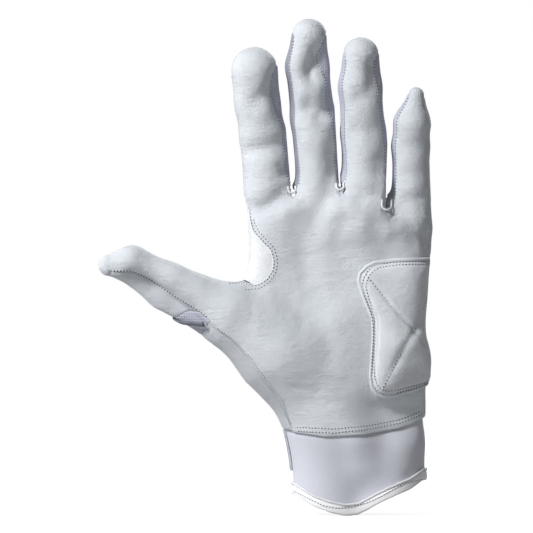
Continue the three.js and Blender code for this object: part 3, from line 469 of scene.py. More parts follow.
# Creases and ridges by where they lie: pixels along each, its width and height in millimetres
creases = {
    "middle": [
        ([(334, 48), (321, 62), (310, 74), (298, 86)], 6.8, -6.2),
        ([(331, 82), (333, 100), (336, 122)], 4.0, -2.5),
        ([(294, 104), (314, 111), (334, 122)], 5.0, -3.3),
        ([(296, 143), (312, 141), (330, 147)], 4.6, 1.1),
        ([(332, 148), (334, 166), (335, 184)], 4.6, -1.7),
        ([(340, 166), (330, 190), (316, 216), (302, 246)], 5.4, -2.5),
    ],
    "index": [
        ([(279, 62), (280, 84), (284, 112), (288, 128)], 4.6, -2.8),
        ([(240, 106), (258, 102), (274, 92), (284, 84)], 4.4, -2.0),
        ([(234, 152), (258, 150), (275, 146), (292, 136)], 4.0, -1.8),
        ([(285, 158), (287, 170), (289, 182)], 4.0, -1.6),
        ([(296, 182), (281, 197), (264, 208), (244, 214)], 4.2, -2.4),
    ],
    "ring": [
        ([(373, 54), (374, 74), (377, 96)], 4.8, -2.0),
        ([(344, 98), (360, 96), (384, 92)], 4.8, -2.0),
        ([(340, 128), (360, 132), (388, 132)], 4.4, -1.2),
        ([(379, 148), (380, 166), (379, 184)], 4.8, -1.5),
        ([(386, 184), (370, 194), (350, 200)], 4.2, -1.4),
    ],
    "little": [
        ([(390, 149), (408, 148), (434, 145)], 4.2, -1.1),
        ([(392, 178), (410, 176), (434, 172)], 4.2, -0.8),
        ([(390, 205), (410, 202), (436, 196)], 4.2, -1.6),
    ],
    "roots": [
        ([(274, 213), (290, 210), (308, 203)], 4.0, 1.5),
        ([(324, 211), (341, 209), (360, 206)], 4.0, 1.4),
        ([(374, 232), (394, 230), (412, 223)], 4.0, 1.5),
        ([(240, 232), (300, 232), (350, 232), (420, 246)], 9.0, 1.2),
        ([(402, 246), (416, 240), (434, 230)], 4.4, -0.9),
        ([(434, 216), (426, 238), (426, 258)], 2.6, -1.0),
    ],
    "thumb": [
        ([(116, 274), (150, 296), (182, 318), (214, 346)], 11.0, -6.0),
        ([(104, 262), (142, 281), (188, 309)], 5.4, -2.4),
        ([(142, 254), (178, 270), (222, 284)], 7.0, 1.4),
        ([(136, 232), (124, 262), (110, 296)], 12.0, 1.6),
    ],
    "palmAndWrist": [
        ([(342, 286), (338, 350), (342, 412)], 13.0, 3.6),
        ([(360, 416), (362, 455), (363, 494)], 8.0, 3.0),
        ([(356, 196), (360, 222), (354, 250)], 6.0, 1.5),
        ([(252, 373), (290, 387), (332, 392)], 1.6, -0.35),
        ([(298, 399), (330, 402), (354, 400)], 1.5, -0.3),
        ([(252, 348), (272, 366), (283, 388)], 1.7, -0.3),
        ([(308, 371), (335, 382), (362, 384)], 1.7, -0.25),
        ([(352, 392), (374, 404), (395, 409), (416, 406), (444, 394)], 3.4, -1.1),
        ([(398, 477), (415, 473), (433, 463)], 2.4, -0.7),
    ],
}
strokes = [Stroke(*values) for group in creases.values() for values in group]
facingFade = {"start": 0.12, "reach": 0.55}

# Where the heel of the hand falls away; all skins sink together
fall = {
    "strokes": [
        Stroke([(345, 436), (392, 418), (460, 402)], 13.5, -7.0),
        Stroke([(412, 338), (414, 366), (424, 396)], 10.0, -3.0),
    ],
    "start": -1.0, "reach": 18.0, "fade": 34.0,
}


def facingShare(directions):
    return smooth(clampShare((-directions[:, 1] - facingFade["start"]) / facingFade["reach"]))


def frontRelief(p, directions):
    return sum(stroke.lift(p) for stroke in strokes) * facingShare(directions)


def raised(points, directions, relief=frontRelief):
    return points + directions * relief(points, directions)[:, None]


def settled(points):
    depth = sum(stroke.lift(points) for stroke in fall["strokes"])
    front = smooth(clampShare((fall["start"] - points[:, 1]) / fall["reach"]))
    result = points.copy()
    result[:, 1] -= depth * front * smooth(clampShare(points[:, 2] / fall["fade"]))
    return result


def treeOf(points):
    tree = kdtree.KDTree(len(points))
    for i, point in enumerate(points):
        tree.insert(point, i)
    tree.balance()
    return tree


def gapsTo(tree, points):
    return np.array([tree.find(point)[2] for point in points])


def newMesh(name, points, faces, material):
    mesh = bpy.data.meshes.new(name)
    mesh.from_pydata([tuple(p * millimetre) for p in points], [], faces)
    mesh.polygons.foreach_set("use_smooth", [True] * len(faces))
    mesh.materials.append(material)
    mesh.update()
    return mesh


def addPiece(name, mesh, body, node, blend):
    piece = bpy.data.objects.new(name, mesh)
    bpy.context.scene.collection.objects.link(piece)
    if blend:
        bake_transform(piece)
    else:
        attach(piece, body)
    if node:
        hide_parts(node)
    return piece


# Closed skins from grids of rays, rolled in at their free edges
# The leather's colour darkens towards free edges and on inner faces and walls: painted shade
skinLook = {
    "mergeStep": 0.004, "lostDepth": 4.0, "hingeReach": 0.1, "normalReach": 0.06,
    "edgeSoil": 0.35, "edgeSoilWidth": 0.8, "insideSoil": 0.4,
}
queue = []


class Skin:
    def __init__(self, name, field, grids, outer, inner, relief=None, edgeDrop=0.5, edgeWidth=1.2):
        self.name = name
        points, insides, outs, faces = [], [], [], []
        known = {}
        for grid in grids:
            shape = grid.origin.shape[:2]
            hits = grid.hit(field, outer).reshape(-1, 3)
            deep = grid.hit(field, inner).reshape(-1, 3)
            directions = grid.direction.reshape(-1, 3)
            wall = np.broadcast_to(np.asarray(outer, float) - inner, shape).reshape(-1, 1)
            lost = np.linalg.norm(deep - hits, axis=1) > skinLook["lostDepth"]
            deep[lost] = (hits - directions * wall)[lost]
            if relief is not None:
                lift = relief(hits, directions)[:, None]
                hits = hits + directions * lift
                deep = deep + directions * np.minimum(lift, 0)
            hits, deep = settled(hits), settled(deep)
            ids = np.empty(len(hits), int)
            keys = np.round(hits / skinLook["mergeStep"]).astype(int)
            for i, key in enumerate(map(tuple, keys)):
                if key not in known:
                    known[key] = len(points)
                    points.append(hits[i])
                    insides.append(deep[i])
                    outs.append(directions[i])
                ids[i] = known[key]
            ids = ids.reshape(shape)
            quads = np.stack([ids[:-1, :-1], ids[:-1, 1:], ids[1:, 1:], ids[1:, :-1]], axis=-1)
            quads = [self.cleaned(quad) for quad in quads.reshape(-1, 4).tolist()]
            quads = [quad for quad in quads if len(quad) > 2]
            where, out = np.array(points), np.array(outs)
            turns = sum(
                np.cross(where[q[1]] - where[q[0]], where[q[2]] - where[q[0]]) @ out[q[0]] for q in quads
            )
            faces.extend(quads if turns > 0 else [quad[::-1] for quad in quads])
        self.outer, self.inner, self.out = np.array(points), np.array(insides), np.array(outs)
        self.faces = faces
        self.rims = self.findRims()
        self.paintedShade = np.zeros(len(points))
        self.rollEdges(edgeDrop, edgeWidth)
        self.normals = self.findNormals()

    @staticmethod
    def cleaned(quad):
        return [v for i, v in enumerate(quad) if v != quad[i - 1]]

    def findRims(self):
        edges = {(face[i - 1], face[i]) for face in self.faces for i in range(len(face))}
        return [(a, b) for a, b in edges if (b, a) not in edges]

    def rollEdges(self, drop, width):
        free = sorted({i for edge in self.rims for i in edge})
        free = [i for i in free if hingeTree.find(self.outer[i])[2] > skinLook["hingeReach"]]
        if not free or not drop:
            return
        gaps = gapsTo(treeOf(self.outer[free]), self.outer)
        sink = drop * (1 - clampShare(gaps / width)) ** 2
        self.outer = self.outer - self.out * sink[:, None]
        # Painted shade: the colour darkens towards the free edges
        self.paintedShade += skinLook["edgeSoil"] * np.exp(-gaps / skinLook["edgeSoilWidth"])

    def findNormals(self):
        quads = np.array([[*face, face[-1]][:4] for face in self.faces])
        corner = self.outer[quads]
        slopes = np.cross(corner[:, 2] - corner[:, 0], corner[:, 3] - corner[:, 1])
        normals = np.zeros_like(self.outer)
        for k in range(4):
            np.add.at(normals, quads[:, k], slopes)
        return normals

    def build(self, finish, body, node, blend, slot):
        count = len(self.outer)
        points = [*self.outer, *self.inner]
        faces = [*self.faces, *[[i + count for i in face[::-1]] for face in self.faces]]
        for a, b in self.rims:
            base = len(points)
            points.extend([self.outer[b], self.outer[a], self.inner[a], self.inner[b]])
            faces.append([base, base + 1, base + 2, base + 3])
        mesh = newMesh(self.name, points, faces, finish)
        # Painted shade as a mesh attribute; inner faces and walls get one fixed amount
        paintedShade = mesh.attributes.new("paintedShade", "FLOAT", "POINT")
        paintedShade.data.foreach_set("value", [*self.paintedShade, *[skinLook["insideSoil"]] * (len(points) - count)])
        normals = [tuple(vertex.normal) for vertex in mesh.vertices]
        normals[:count] = [tuple(normal) for normal in unit(self.normals)]
        mesh.normals_split_custom_set_from_vertices(normals)
        addPiece(self.name, mesh, body, node, blend)


# A round bead along a line, half sunk into the surface below
def sweep(name, points, normals, width, height, finish, node=None, blend=None, sides=10):
    points, normals = np.asarray(points), unit(np.asarray(normals))
    along = unit(np.gradient(points, axis=0))
    across = unit(np.cross(along, normals))
    turns = np.linspace(0, 2 * math.pi, sides, endpoint=False)[None, :, None]
    rings = points[:, None] + across[:, None] * np.cos(turns) * width
    rings = rings + normals[:, None] * np.sin(turns) * height
    count = len(points)
    faces = []
    for i in range(count - 1):
        for j in range(sides):
            k = (j + 1) % sides
            faces.append([i * sides + j, i * sides + k, (i + 1) * sides + k, (i + 1) * sides + j])
    for j in range(sides):
        k = (j + 1) % sides
        faces.append([count * sides, k, j])
        faces.append([count * sides + 1, (count - 1) * sides + j, (count - 1) * sides + k])
    meshPiece(name, [*rings.reshape(-1, 3), points[0], points[-1]], faces, finish, "hand", node, blend)


def meshPiece(name, points, faces, finish, body, node, blend):
    addPiece(name, newMesh(name, points, faces, finishes[finish]), body, node, blend)


print("stage: form")

# Steps of the grids, finer than in the solids
panelColumns = 20
forkColumns = 8
backColumns = 20
shaftRows = 60
tipRows = 16
thenarRows = 60
webThumbSteps = 32
webIndexSteps = 32
webSteps = webThumbSteps + webIndexSteps
flexSteps = 20
crotchSteps = 6

# Two places where several panels meet
wristCorner = (293, 431)
webCorner = (266, 279)


def seamTurn(digit):
    return math.degrees(edgeGap / 2 / digit["radius"])


def panelAngles(name, low, high, columns):
    turn = seamTurn(digits[name])
    return np.linspace(low + turn, high - turn, columns + 1)


def rootRays(name, angles):
    return digitRays(digits[name], np.zeros(np.shape(angles)), angles)


def notchRay(index, depth, facing):
    crotch = crotches[index]
    return flatRays((crotch["bottom"] - crotch["up"] * depth)[None], facing)


def crotchRise(index):
    return digits[fingerNames[index]]["creaseZ"] - crotches[index]["bottom"][2]


def isTall(index):
    return crotchRise(index) > slits["tall"]


def wallFootRays(index, angles):
    digit = digits[fingerNames[index]]
    share = -crotchRise(index) * slits["wallFoot"] / digit["shaft"]
    return digitRays(digit, np.full(np.shape(angles), share), angles)


def mixedRays(a, b, share):
    return Rays(mix(a.origin, b.origin, share), mix(a.direction, b.direction, share))


def between(a, b, steps):
    return mixedRays(a, b, np.linspace(0, 1, steps + 1)[1:-1, None])


# A panel's edge round a slit: down to a notch below its bottom and up to the next finger
def crotchRays(index, angle, facing, start, end):
    notch = notchRay(index, slits["notchDepth"], facing)
    first = wallFootRays(index, np.array([angle])) if isTall(index) else start[-1:]
    line = between(first, notch, crotchSteps) + notch + between(notch, end[:1], crotchSteps)
    return between(start[-1:], first, crotchSteps * 2) + first + line if isTall(index) else line


def frontAngles(name):
    left, right = digits[name]["left"][0], digits[name]["right"][0]
    if name == "thumb":
        low = panelAngles(name, -left, webPanel["thumbAngles"][0], thenarRows)
        high = np.linspace(low[-1], right - seamTurn(digits[name]), panelColumns // 2)
        return np.concatenate([low, high[1:]])
    return panelAngles(name, -left, right, panelColumns)


def palmTop():
    roots = [rootRays(name, frontAngles(name)) for name in fingerNames]
    line = roots[0]
    for index in range(len(crotches)):
        angle = frontAngles(fingerNames[index])[-1]
        line = line + crotchRays(index, angle, -1, roots[index], roots[index + 1]) + roots[index + 1]
    return line


# The web between thumb and index finger is folded round the edge of the hand
webPanel = {
    "seam": [
        webCorner, (272, 270), (273, 260), (270, 250), (263, 243), (255, 234), (249.5, 223), (246.5, 211),
        (246, 200),
    ],
    "thumbSeam": [webCorner, (258, 284), (242, 286), (232, 284.5), (224, 283)],
    "edge": [
        (225, 278), (233, 279.5), (241, 280), (246.5, 276), (247.5, 268), (247, 256), (246.5, 243),
        (246.5, 230), (246.5, 216), (245.5, 201),
    ],
    "thumbAngles": (76, 150), "indexAngles": (96, 126), "inset": 4.0, "gap": 0.3, "softening": 9, "fold": 16,
}
webSeam = np.concatenate([
    seamLine(webPanel["thumbSeam"], webThumbSteps)[::-1], seamLine(webPanel["seam"], webIndexSteps)[1:],
])
webEdge = seamLine(webPanel["edge"], webSteps)
webOutward = shifted(webEdge, 1.0) - webEdge
webPadded = np.pad(webOutward, ((webPanel["softening"],) * 2, (0, 0)), "edge")
webOutward = unit(sum(webPadded[i:i + webSteps + 1] for i in range(2 * webPanel["softening"] + 1)))


def webRays(stations, turnShares, shift):
    stations = np.asarray(stations)
    places = shifted(webSeam, shift)[stations]
    line = foldRays(places, webEdge[stations], webOutward[stations], webPanel["inset"], turnShares, shift)
    sign = math.copysign(1, shift)
    ends = ((0, "thumb", webPanel["thumbAngles"], 1), (webSteps, "index", webPanel["indexAngles"], -1))
    for station, name, angles, way in ends:
        for i in np.flatnonzero(stations == station):
            turn = seamTurn(digits[name]) * sign
            share = np.broadcast_to(turnShares, stations.shape)[i]
            root = rootRays(name, way * mix(angles[0] + turn, angles[1] - turn, share))
            line.origin[i], line.direction[i] = root.origin, root.direction
    return line


def webFrom(first, last, turnShare):
    step = 1 if last > first else -1
    return webRays(np.arange(first, last + step, step), turnShare, -webPanel["gap"] / 2)


print("stage: lines")


# Materials: one small class wraps a socket
class Wire:
    def __init__(self, tree, socket):
        self.tree = tree
        self.socket = socket

    def math(self, operation, *others):
        node = self.tree.nodes.new("ShaderNodeMath")
        node.operation = operation
        for i, value in enumerate((self, *others)):
            plug(self.tree, value, node.inputs[i])
        return Wire(self.tree, node.outputs[0])

    def __add__(self, other):
        return self.math("ADD", other)

    def __sub__(self, other):
        return self.math("SUBTRACT", other)

    def __mul__(self, other):
        return self.math("MULTIPLY", other)

    def __rsub__(self, other):
        return self * -1.0 + other

    __radd__ = __add__
    __rmul__ = __mul__

    def clamp(self):
        result = self.math("ADD", 0.0)
        result.socket.node.use_clamp = True
        return result


def plug(tree, value, socket):
    if isinstance(value, Wire):
        tree.links.new(value.socket, socket)
    else:
        socket.default_value = value


# Any other node comes from node(); an input is named by its label, or as i0, i1 by its place
class Nodes:
    def __init__(self, tree):
        self.tree = tree

    def node(self, kind, output=0, settings=None, **inputs):
        node = self.tree.nodes.new(kind)
        for key, value in (settings or {}).items():
            setattr(node, key, value)
        for key, value in inputs.items():
            socket = node.inputs[int(key[1:])] if key[1:].isdigit() else node.inputs[key.replace("_", " ")]
            plug(self.tree, value, socket)
        return Wire(self.tree, node.outputs[output])


class Finish(Nodes):
    def __init__(self, name):
        self.material = bpy.data.materials.new(name)
        self.material.use_nodes = True
        super().__init__(self.material.node_tree)
        self.shader = self.tree.nodes["Principled BSDF"]
        self.place = self.node("ShaderNodeTexCoord", output="Object")

    def noise(self, scale, detail=2.0):
        return self.node("ShaderNodeTexNoise", Vector=self.place, Scale=scale, Detail=detail)

    def wave(self, direction, scale):
        return self.node(
            "ShaderNodeTexWave", settings={"bands_direction": direction}, Vector=self.place, Scale=scale,
            Distortion=0.6, Detail=1.0,
        )

    def colour(self, factor, low, high):
        return self.node(
            "ShaderNodeMix", output=2, settings={"data_type": "RGBA"}, i0=factor, i6=(*linear(low), 1),
            i7=(*linear(high), 1),
        )

    def bump(self, height, strength, distance, **under):
        normal = self.node("ShaderNodeBump", Height=height, Strength=strength, Distance=distance, **under)
        plug(self.tree, normal, self.shader.inputs["Normal"])

    def set(self, **inputs):
        for key, value in inputs.items():
            plug(self.tree, value, self.shader.inputs[key.replace("_", " ")])
        return self.material


def linear(rgb):
    return tuple((v / 255 / 12.92) if v <= 10 else ((v / 255 + 0.055) / 1.055) ** 2.4 for v in rgb)


# Scales are per metre, depths in metres
leatherLook = {
    "cellScale": 1500.0, "fineScale": 2600.0, "broadScale": 55.0, "wrinkleScale": 620.0, "waveScale": 85.0,
    "wrinkleStretch": (0.3, 0.3, 1.0), "wrinkleDistortion": 0.4, "cellGain": 3.0,
    "cellHeight": 0.35, "fineHeight": 0.35, "wrinkleHeight": 1.1, "grainDepth": 0.0009,
    "waveStrength": 0.5, "waveDepth": 0.0022, "broadTone": 0.7, "fineTone": 0.25, "soilTone": -0.9,
    "roughness": 0.5, "roughSwing": 0.2, "grain": 0.6, "specular": 0.42, "detail": 3.0,
}
knitLook = {
    "ribScale": 250.0, "ribShare": 0.5, "depth": 0.5, "distance": 0.0003, "broadScale": 70.0,
    "heightTone": 0.45, "broadTone": 0.55, "roughness": 0.75, "roughSwing": 0.1, "specular": 0.25,
}
plainLook = {"scale": 900.0, "detail": 3.0, "depth": 0.2, "distance": 0.0002, "roughSwing": 0.1}


def leatherFinish(name, light, dark, **changes):
    look = {**leatherLook, **changes}
    finish = Finish(name)
    cells = finish.node(
        "ShaderNodeTexVoronoi", settings={"feature": "DISTANCE_TO_EDGE"}, Vector=finish.place,
        Scale=look["cellScale"],
    )
    fine = finish.noise(look["fineScale"], look["detail"])
    broad = finish.noise(look["broadScale"], look["detail"])
    stretched = finish.node("ShaderNodeMapping", Vector=finish.place, Scale=look["wrinkleStretch"])
    wrinkles = finish.node(
        "ShaderNodeTexNoise", Vector=stretched, Scale=look["wrinkleScale"], Detail=look["detail"],
        Distortion=look["wrinkleDistortion"],
    )
    soft = finish.node(
        "ShaderNodeBump", Height=finish.noise(look["waveScale"]), Strength=look["waveStrength"],
        Distance=look["waveDepth"],
    )
    height = (cells * look["cellGain"]).clamp() * look["cellHeight"] + fine * look["fineHeight"]
    finish.bump(height + wrinkles * look["wrinkleHeight"], look["grain"], look["grainDepth"], Normal=soft)
    # Painted shade from the mesh attribute darkens the base colour
    paintedShade = finish.node("ShaderNodeAttribute", output="Fac", settings={"attribute_name": "paintedShade"})
    tone = (broad * look["broadTone"] + fine * look["fineTone"] + paintedShade * look["soilTone"]).clamp()
    rough = broad * look["roughSwing"] + (look["roughness"] - look["roughSwing"] / 2)
    return finish.set(
        Base_Color=finish.colour(tone, dark, light), Roughness=rough, Specular_IOR_Level=look["specular"],
    )


def knitFinish(name, light, dark):
    look = knitLook
    finish = Finish(name)
    ribs = [finish.wave(direction, look["ribScale"]) * look["ribShare"] for direction in "ZX"]
    height = ribs[0] + ribs[1]
    finish.bump(height, look["depth"], look["distance"])
    broad = finish.noise(look["broadScale"])
    tone = (height * look["heightTone"] + broad * look["broadTone"]).clamp()
    rough = broad * look["roughSwing"] + look["roughness"]
    return finish.set(
        Base_Color=finish.colour(tone, dark, light), Roughness=rough, Specular_IOR_Level=look["specular"],
    )


def plainFinish(name, light, dark, roughness, **changes):
    look = {**plainLook, **changes}
    finish = Finish(name)
    grain = finish.noise(look["scale"], look["detail"])
    finish.bump(grain, look["depth"], look["distance"])
    rough = grain * look["roughSwing"] + roughness
    return finish.set(Base_Color=finish.colour(grain, dark, light), Roughness=rough)


# Each finish: its light and dark colours, then what differs from its kind
finishes = {
    "palm": leatherFinish("palmLeather", (226, 230, 235), (203, 209, 216)),
    "back": leatherFinish("backLeather", (216, 219, 225), (194, 199, 206)),
    "web": leatherFinish("webLeather", (243, 244, 246), (226, 229, 233), roughness=0.45),
    "patch": leatherFinish("patchLeather", (230, 233, 238), (208, 213, 220), grain=0.5),
    "knit": knitFinish("stretchKnit", (196, 198, 212), (162, 165, 182)),
    # The darker knit is painted shade, for knit in the slits, in the vent and on the middle finger's left
    # side
    "knitShade": knitFinish("shadedKnit", (160, 162, 174), (124, 128, 140)),
    "neoprene": plainFinish("neopreneCuff", (214, 216, 225), (199, 201, 212), 0.7, scale=1400.0, depth=0.25),
    "trim": plainFinish("darkTrim", (132, 136, 146), (84, 89, 100), 0.6),
    "binding": plainFinish("bindingTape", (250, 250, 252), (240, 240, 244), 0.6, scale=1800.0, depth=0.3),
    "thread": plainFinish("thread", (238, 240, 243), (214, 217, 222), 0.55),
    "hole": plainFinish("needleHolePaintedShade", (84, 88, 98), (56, 60, 70), 0.85),
    # Needle holes: their dark colour is painted shade in the pits
    "foam": plainFinish("foam", (230, 226, 214), (206, 202, 190), 0.9),
    "fastener": plainFinish("fastener", (120, 123, 132), (88, 91, 100), 0.9, scale=3000.0, depth=0.9),
}
print("stage: materials")

# Each digit's name with its points blendStart and blendEnd beyond the hinge line; pieces given these are
# baked in place
blendStart = 0.6
blendEnd = 15
joinReach = 12


def blendOf(name):
    origin, tangent, _, _ = digitFrame(digits[name], 0.0)
    return name, *(tuple((origin + tangent * reach) * millimetre) for reach in (blendStart, blendEnd))


def digitPanel(name, angles, face, startAt=None):
    digit = digits[name]
    starts = np.zeros(len(angles)) if startAt is None else startAt(angles)
    shares = np.linspace(0, 1, shaftRows + 1)[:, None]
    shaft = digitRays(digit, mix(starts[None] / digit["shaft"], 1, shares), angles[None])
    seamPlaces = np.linspace(-face, face, len(angles))
    lift = face * math.radians(seamTurn(digit))
    tipShares = np.linspace(0, 1, tipRows + 1)[1:, None]
    return shaft + tipRays(digit, angles[None], seamPlaces[None], lift, tipShares)


def fourchetteRays(name, low, high):
    digit = digits[name]
    angles = panelAngles(name, low, high, forkColumns)[None]
    shaft = digitRays(digit, np.linspace(0, 1, shaftRows + 1)[:, None], angles)
    sign = np.array(math.copysign(1, low + high))
    return shaft + tipRays(digit, angles, sign, 0, np.linspace(0, tips["forkShare"], tipRows + 1)[1:, None])


# A digit's own form, which passes into the whole hand's at the hinge line
def joined(name):
    own = fieldOf(name)

    def field(p):
        origin, tangent, _, _ = digitFrame(digits[name], 0.0)
        along = (p - origin) @ tangent
        share = smooth(clampShare(along / joinReach))
        result = own(p)
        near = share < 1
        if near.any():
            result[near] = mix(handField(p[near]), result[near], share[near])
        return result

    return field


joinedFields = {name: joined(name) for name in digits}


def addDigitPiece(node, name, grid, finish, slot, outer=leather, inner=0.0, relief=frontRelief, **options):
    skin = Skin(node, joinedFields[name], [grid], outer, inner, relief, **options)
    queue.append((skin, (finishes[finish], "hand", node, blendOf(name), slot)))


def addHandPiece(node, grids, finish, slot, outer=leather, inner=0.0, relief=None, drop=0.35, body="hand"):
    skin = Skin(node, handField, grids, outer, inner, relief, drop, edgeWidth=1.0)
    queue.append((skin, (finishes[finish], body, node, None, slot)))
    return skin


# Palm leather with the front of the thumb's root
palmSeams = {
    "thenar": [wristCorner, (290, 400), (284, 360), (274, 315), webCorner],
    "wrist": [wristCorner, (325, 435), (363, 433), (399, 427), (430, 416)],
    "ulnar": [(430, 416), (428, 390), (427, 330), (430, 270), (432, 215)],
    "thumb": [wristCorner, (281, 400), (264, 379), (250, 359), (233, 341), (213, 326)],
}


def palmRays():
    top = palmTop()
    thenar = flatRays(seamLine(palmSeams["thenar"], thenarRows)[:-1], -1)
    web = webFrom(webThumbSteps, webSteps, 0)
    ulnar = flatRays(seamLine(palmSeams["ulnar"], thenarRows + webIndexSteps), -1, sideTilt)
    wrist = seamLine(palmSeams["wrist"], len(top) - 1)
    bottom = flatRays(wrist, -1, tiltAt(wrist, wrist[-1, 0]))
    palm = patchRays(handField, bottom, top, thenar + web, ulnar)
    seam = flatRays(shifted(seamLine(palmSeams["thumb"], webThumbSteps), -edgeGap / 2), -1)
    ring = rootRays("thumb", frontAngles("thumb")[:thenarRows + 1])
    root = patchRays(handField, seam, webFrom(webThumbSteps, 0, 0), thenar + web[:1], ring)
    return [palm, root]


# Fronts and palm are one leather on the real glove, so their edges on the hinge lines don't roll
hinges = rootRays("index", frontAngles("index"))
for name in [*fingerNames[1:], "thumb"]:
    hinges = hinges + rootRays(name, frontAngles(name))
hingeTree = treeOf(settled(raised(hinges.hit(handField, leather), hinges.direction)))
addHandPiece("palm_leather", palmRays(), "palm", "palm_leather", relief=frontRelief)
print("stage: palm")
for name in digits:
    grid = digitPanel(name, frontAngles(name), 1)
    addDigitPiece(f"{name}_front", name, grid, "palm", "palm_leather", edgeDrop=0.35)
print("stage: fronts")
for name in fingerNames:
    left, right = digits[name]["left"], digits[name]["right"]
    grid = digitPanel(name, panelAngles(name, right[1], fullTurn - left[1], backColumns), -1)
    addDigitPiece(f"{name}_back", name, grid, "back", "back_leather", relief=None)
    # Painted shade: the middle finger's left fourchette gets the darker knit
    leftFinish = "knitShade" if name == "middle" else "knit"
    for side, low, high, finish in (("left", -left[1], -left[0], leftFinish), ("right", *right, "knit")):
        if high > low:
            grid = fourchetteRays(name, low, high)
            node = f"{name}_fourchette_{side}"
            addDigitPiece(node, name, grid, finish, "stretch_fabric", inner=leather - fabric)
print("stage: fingers")

# Web gusset
stations, folds = np.meshgrid(np.arange(webSteps + 1), np.linspace(0, 1, webPanel["fold"] + 1), indexing="ij")
webGrid = webRays(stations.ravel(), folds.ravel(), webPanel["gap"] / 2)
webGrid = Rays(webGrid.origin.reshape(*stations.shape, 3), webGrid.direction.reshape(*stations.shape, 3))
addHandPiece("thumb_web_gusset", [webGrid], "web", "gusset_leather", relief=frontRelief)

# Gussets under the leather at the bottoms of the slits, whose ends rise towards it
crotchGussets = {
    "rows": 7, "columns": 25, "sink": 6, "halfWidth": 1.4, "level": -1.6, "endRise": 0.7, "endPower": 6,
}
for index, crotch in enumerate(crotches):
    turns = np.linspace(0, math.pi, crotchGussets["columns"])
    sides = np.linspace(-1, 1, crotchGussets["rows"])[:, None, None]
    origin = crotch["bottom"] - crotch["up"] * crotchGussets["sink"]
    origin = origin + sides * crotch["across"] * crotchGussets["halfWidth"]
    direction = np.array([0, -1.0, 0]) * np.cos(turns)[:, None] + crotch["up"] * np.sin(turns)[:, None]
    shape = (crotchGussets["rows"], crotchGussets["columns"], 3)
    grid = Rays(np.broadcast_to(origin, shape), np.broadcast_to(direction, shape))
    node = f"crotch_gusset_{fingerNames[index]}_{fingerNames[index + 1]}"
    rise = crotchGussets["endRise"] * (1 - np.sin(turns)) ** crotchGussets["endPower"]
    level = crotchGussets["level"] + rise
    # The gussets in the slits get the darker knit as painted shade
    addHandPiece(node, [grid], "knitShade", "stretch_fabric", level, level - fabric, drop=0)
sideAngles = panelAngles("ring", *digits["ring"]["right"], forkColumns)
upper, lower = rootRays("ring", sideAngles), wallFootRays(2, sideAngles)
wallShares = np.linspace(0, 1, 2 * crotchSteps + 1)[:, None, None]
sideGrid = mixedRays(upper, lower, wallShares)
addHandPiece("ring_side_gusset", [sideGrid], "knit", "stretch_fabric", inner=leather - fabric)

# Stretch panels over the knuckles, and the back of the hand
backSeams = {
    "knuckles": [(262, 243), (300, 233), (345, 233), (395, 245), (432, 262)],
    "thumb": [(300, 424), (296, 380), (286, 330), (274, 296), webCorner],
    "wrist": [(300, 424), (365, 421), (430, 416)],
}
knuckleGap = 0.3


def heightTable(pixels):
    places = fromPixel(pixels)
    return places[:, 0], places[:, 2]


def valueAt(table, x):
    return np.interp(x, table[0], table[1])


knuckleTable = heightTable(backSeams["knuckles"])
ulnarEdge = fromPixel(palmSeams["ulnar"][-1])
webEnd = webRays([webSteps - flexSteps], 1, -webPanel["gap"] / 2).hit(handField, leather)[0]
notchXs = [notchRay(i, slits["notchDepth"], 1).origin[0, 0] for i in range(len(crotches))]
knuckleEnds = [webEnd[0], *notchXs, ulnarEdge[0]]
knuckleXs = np.concatenate([
    np.linspace(knuckleEnds[i], knuckleEnds[i + 1], backColumns + 1)[i > 0:] for i in range(len(fingerNames))
])
knucklePlaces = np.stack([knuckleXs, np.zeros_like(knuckleXs), valueAt(knuckleTable, knuckleXs)], axis=1)
up = np.array([0, 0, 1.0])


def lerpLine(a, b, count):
    return mix(a, b, np.linspace(0, 1, count)[:, None])


def knuckleEdge(index, distance, corners):
    origin = notchRay(index, slits["notchDepth"], 1).origin[0] * [1, 0, 1]
    start = knucklePlaces[(index + 1) * backColumns] + up * edgeGap
    count = flexSteps + 1 - crotchSteps * len(corners)
    line = flatRays(lerpLine(start, origin, count) + np.array([distance, 0, 0]), 1)
    for corner in corners:
        line = line + between(line[-1:], corner, crotchSteps) + corner
    return line


def knuckleFlex(index):
    name = fingerNames[index]
    digit = digits[name]
    turn = seamTurn(digit)
    isFirst, isLast = index == 0, index == len(crotches)
    low = webPanel["indexAngles"][1] if isFirst else digit["left"][1]
    top = rootRays(name, np.linspace(fullTurn - low - turn, digit["right"][1] + turn, backColumns + 1))
    places = knucklePlaces[index * backColumns:(index + 1) * backColumns + 1] + up * edgeGap
    bottom = flatRays(places, 1, tiltAt(places, ulnarEdge[0]))
    if isFirst:
        left = webFrom(webSteps - flexSteps, webSteps, 1)
    else:
        left = knuckleEdge(index - 1, knuckleGap, [top[:1]])
    if isLast:
        heights = np.linspace(places[-1, 2], digit["creaseZ"], flexSteps + 1)[:-1]
        outline = np.stack([np.full(flexSteps, ulnarEdge[0]), np.zeros(flexSteps), heights], axis=1)
        right = flatRays(outline, 1, sideTilt) + top[-1:]
    else:
        foot = [wallFootRays(index, np.array([digit["right"][1] + turn]))] if isTall(index) else []
        right = knuckleEdge(index, -knuckleGap, [*foot, top[-1:]])
    return patchRays(handField, bottom, top, left, right)


for index, name in enumerate(fingerNames):
    grid = knuckleFlex(index)
    addHandPiece(f"{name}_knuckle_flex", [grid], "knit", "stretch_fabric", inner=leather - fabric)
print("stage: knuckles")

backLine = seamLine(backSeams["thumb"], thenarRows)


def backEdge(distance):
    places = shifted(backLine, distance)
    places[-1] += webOutward[webThumbSteps] * -webPanel["gap"] / 2
    return flatRays(places, 1)


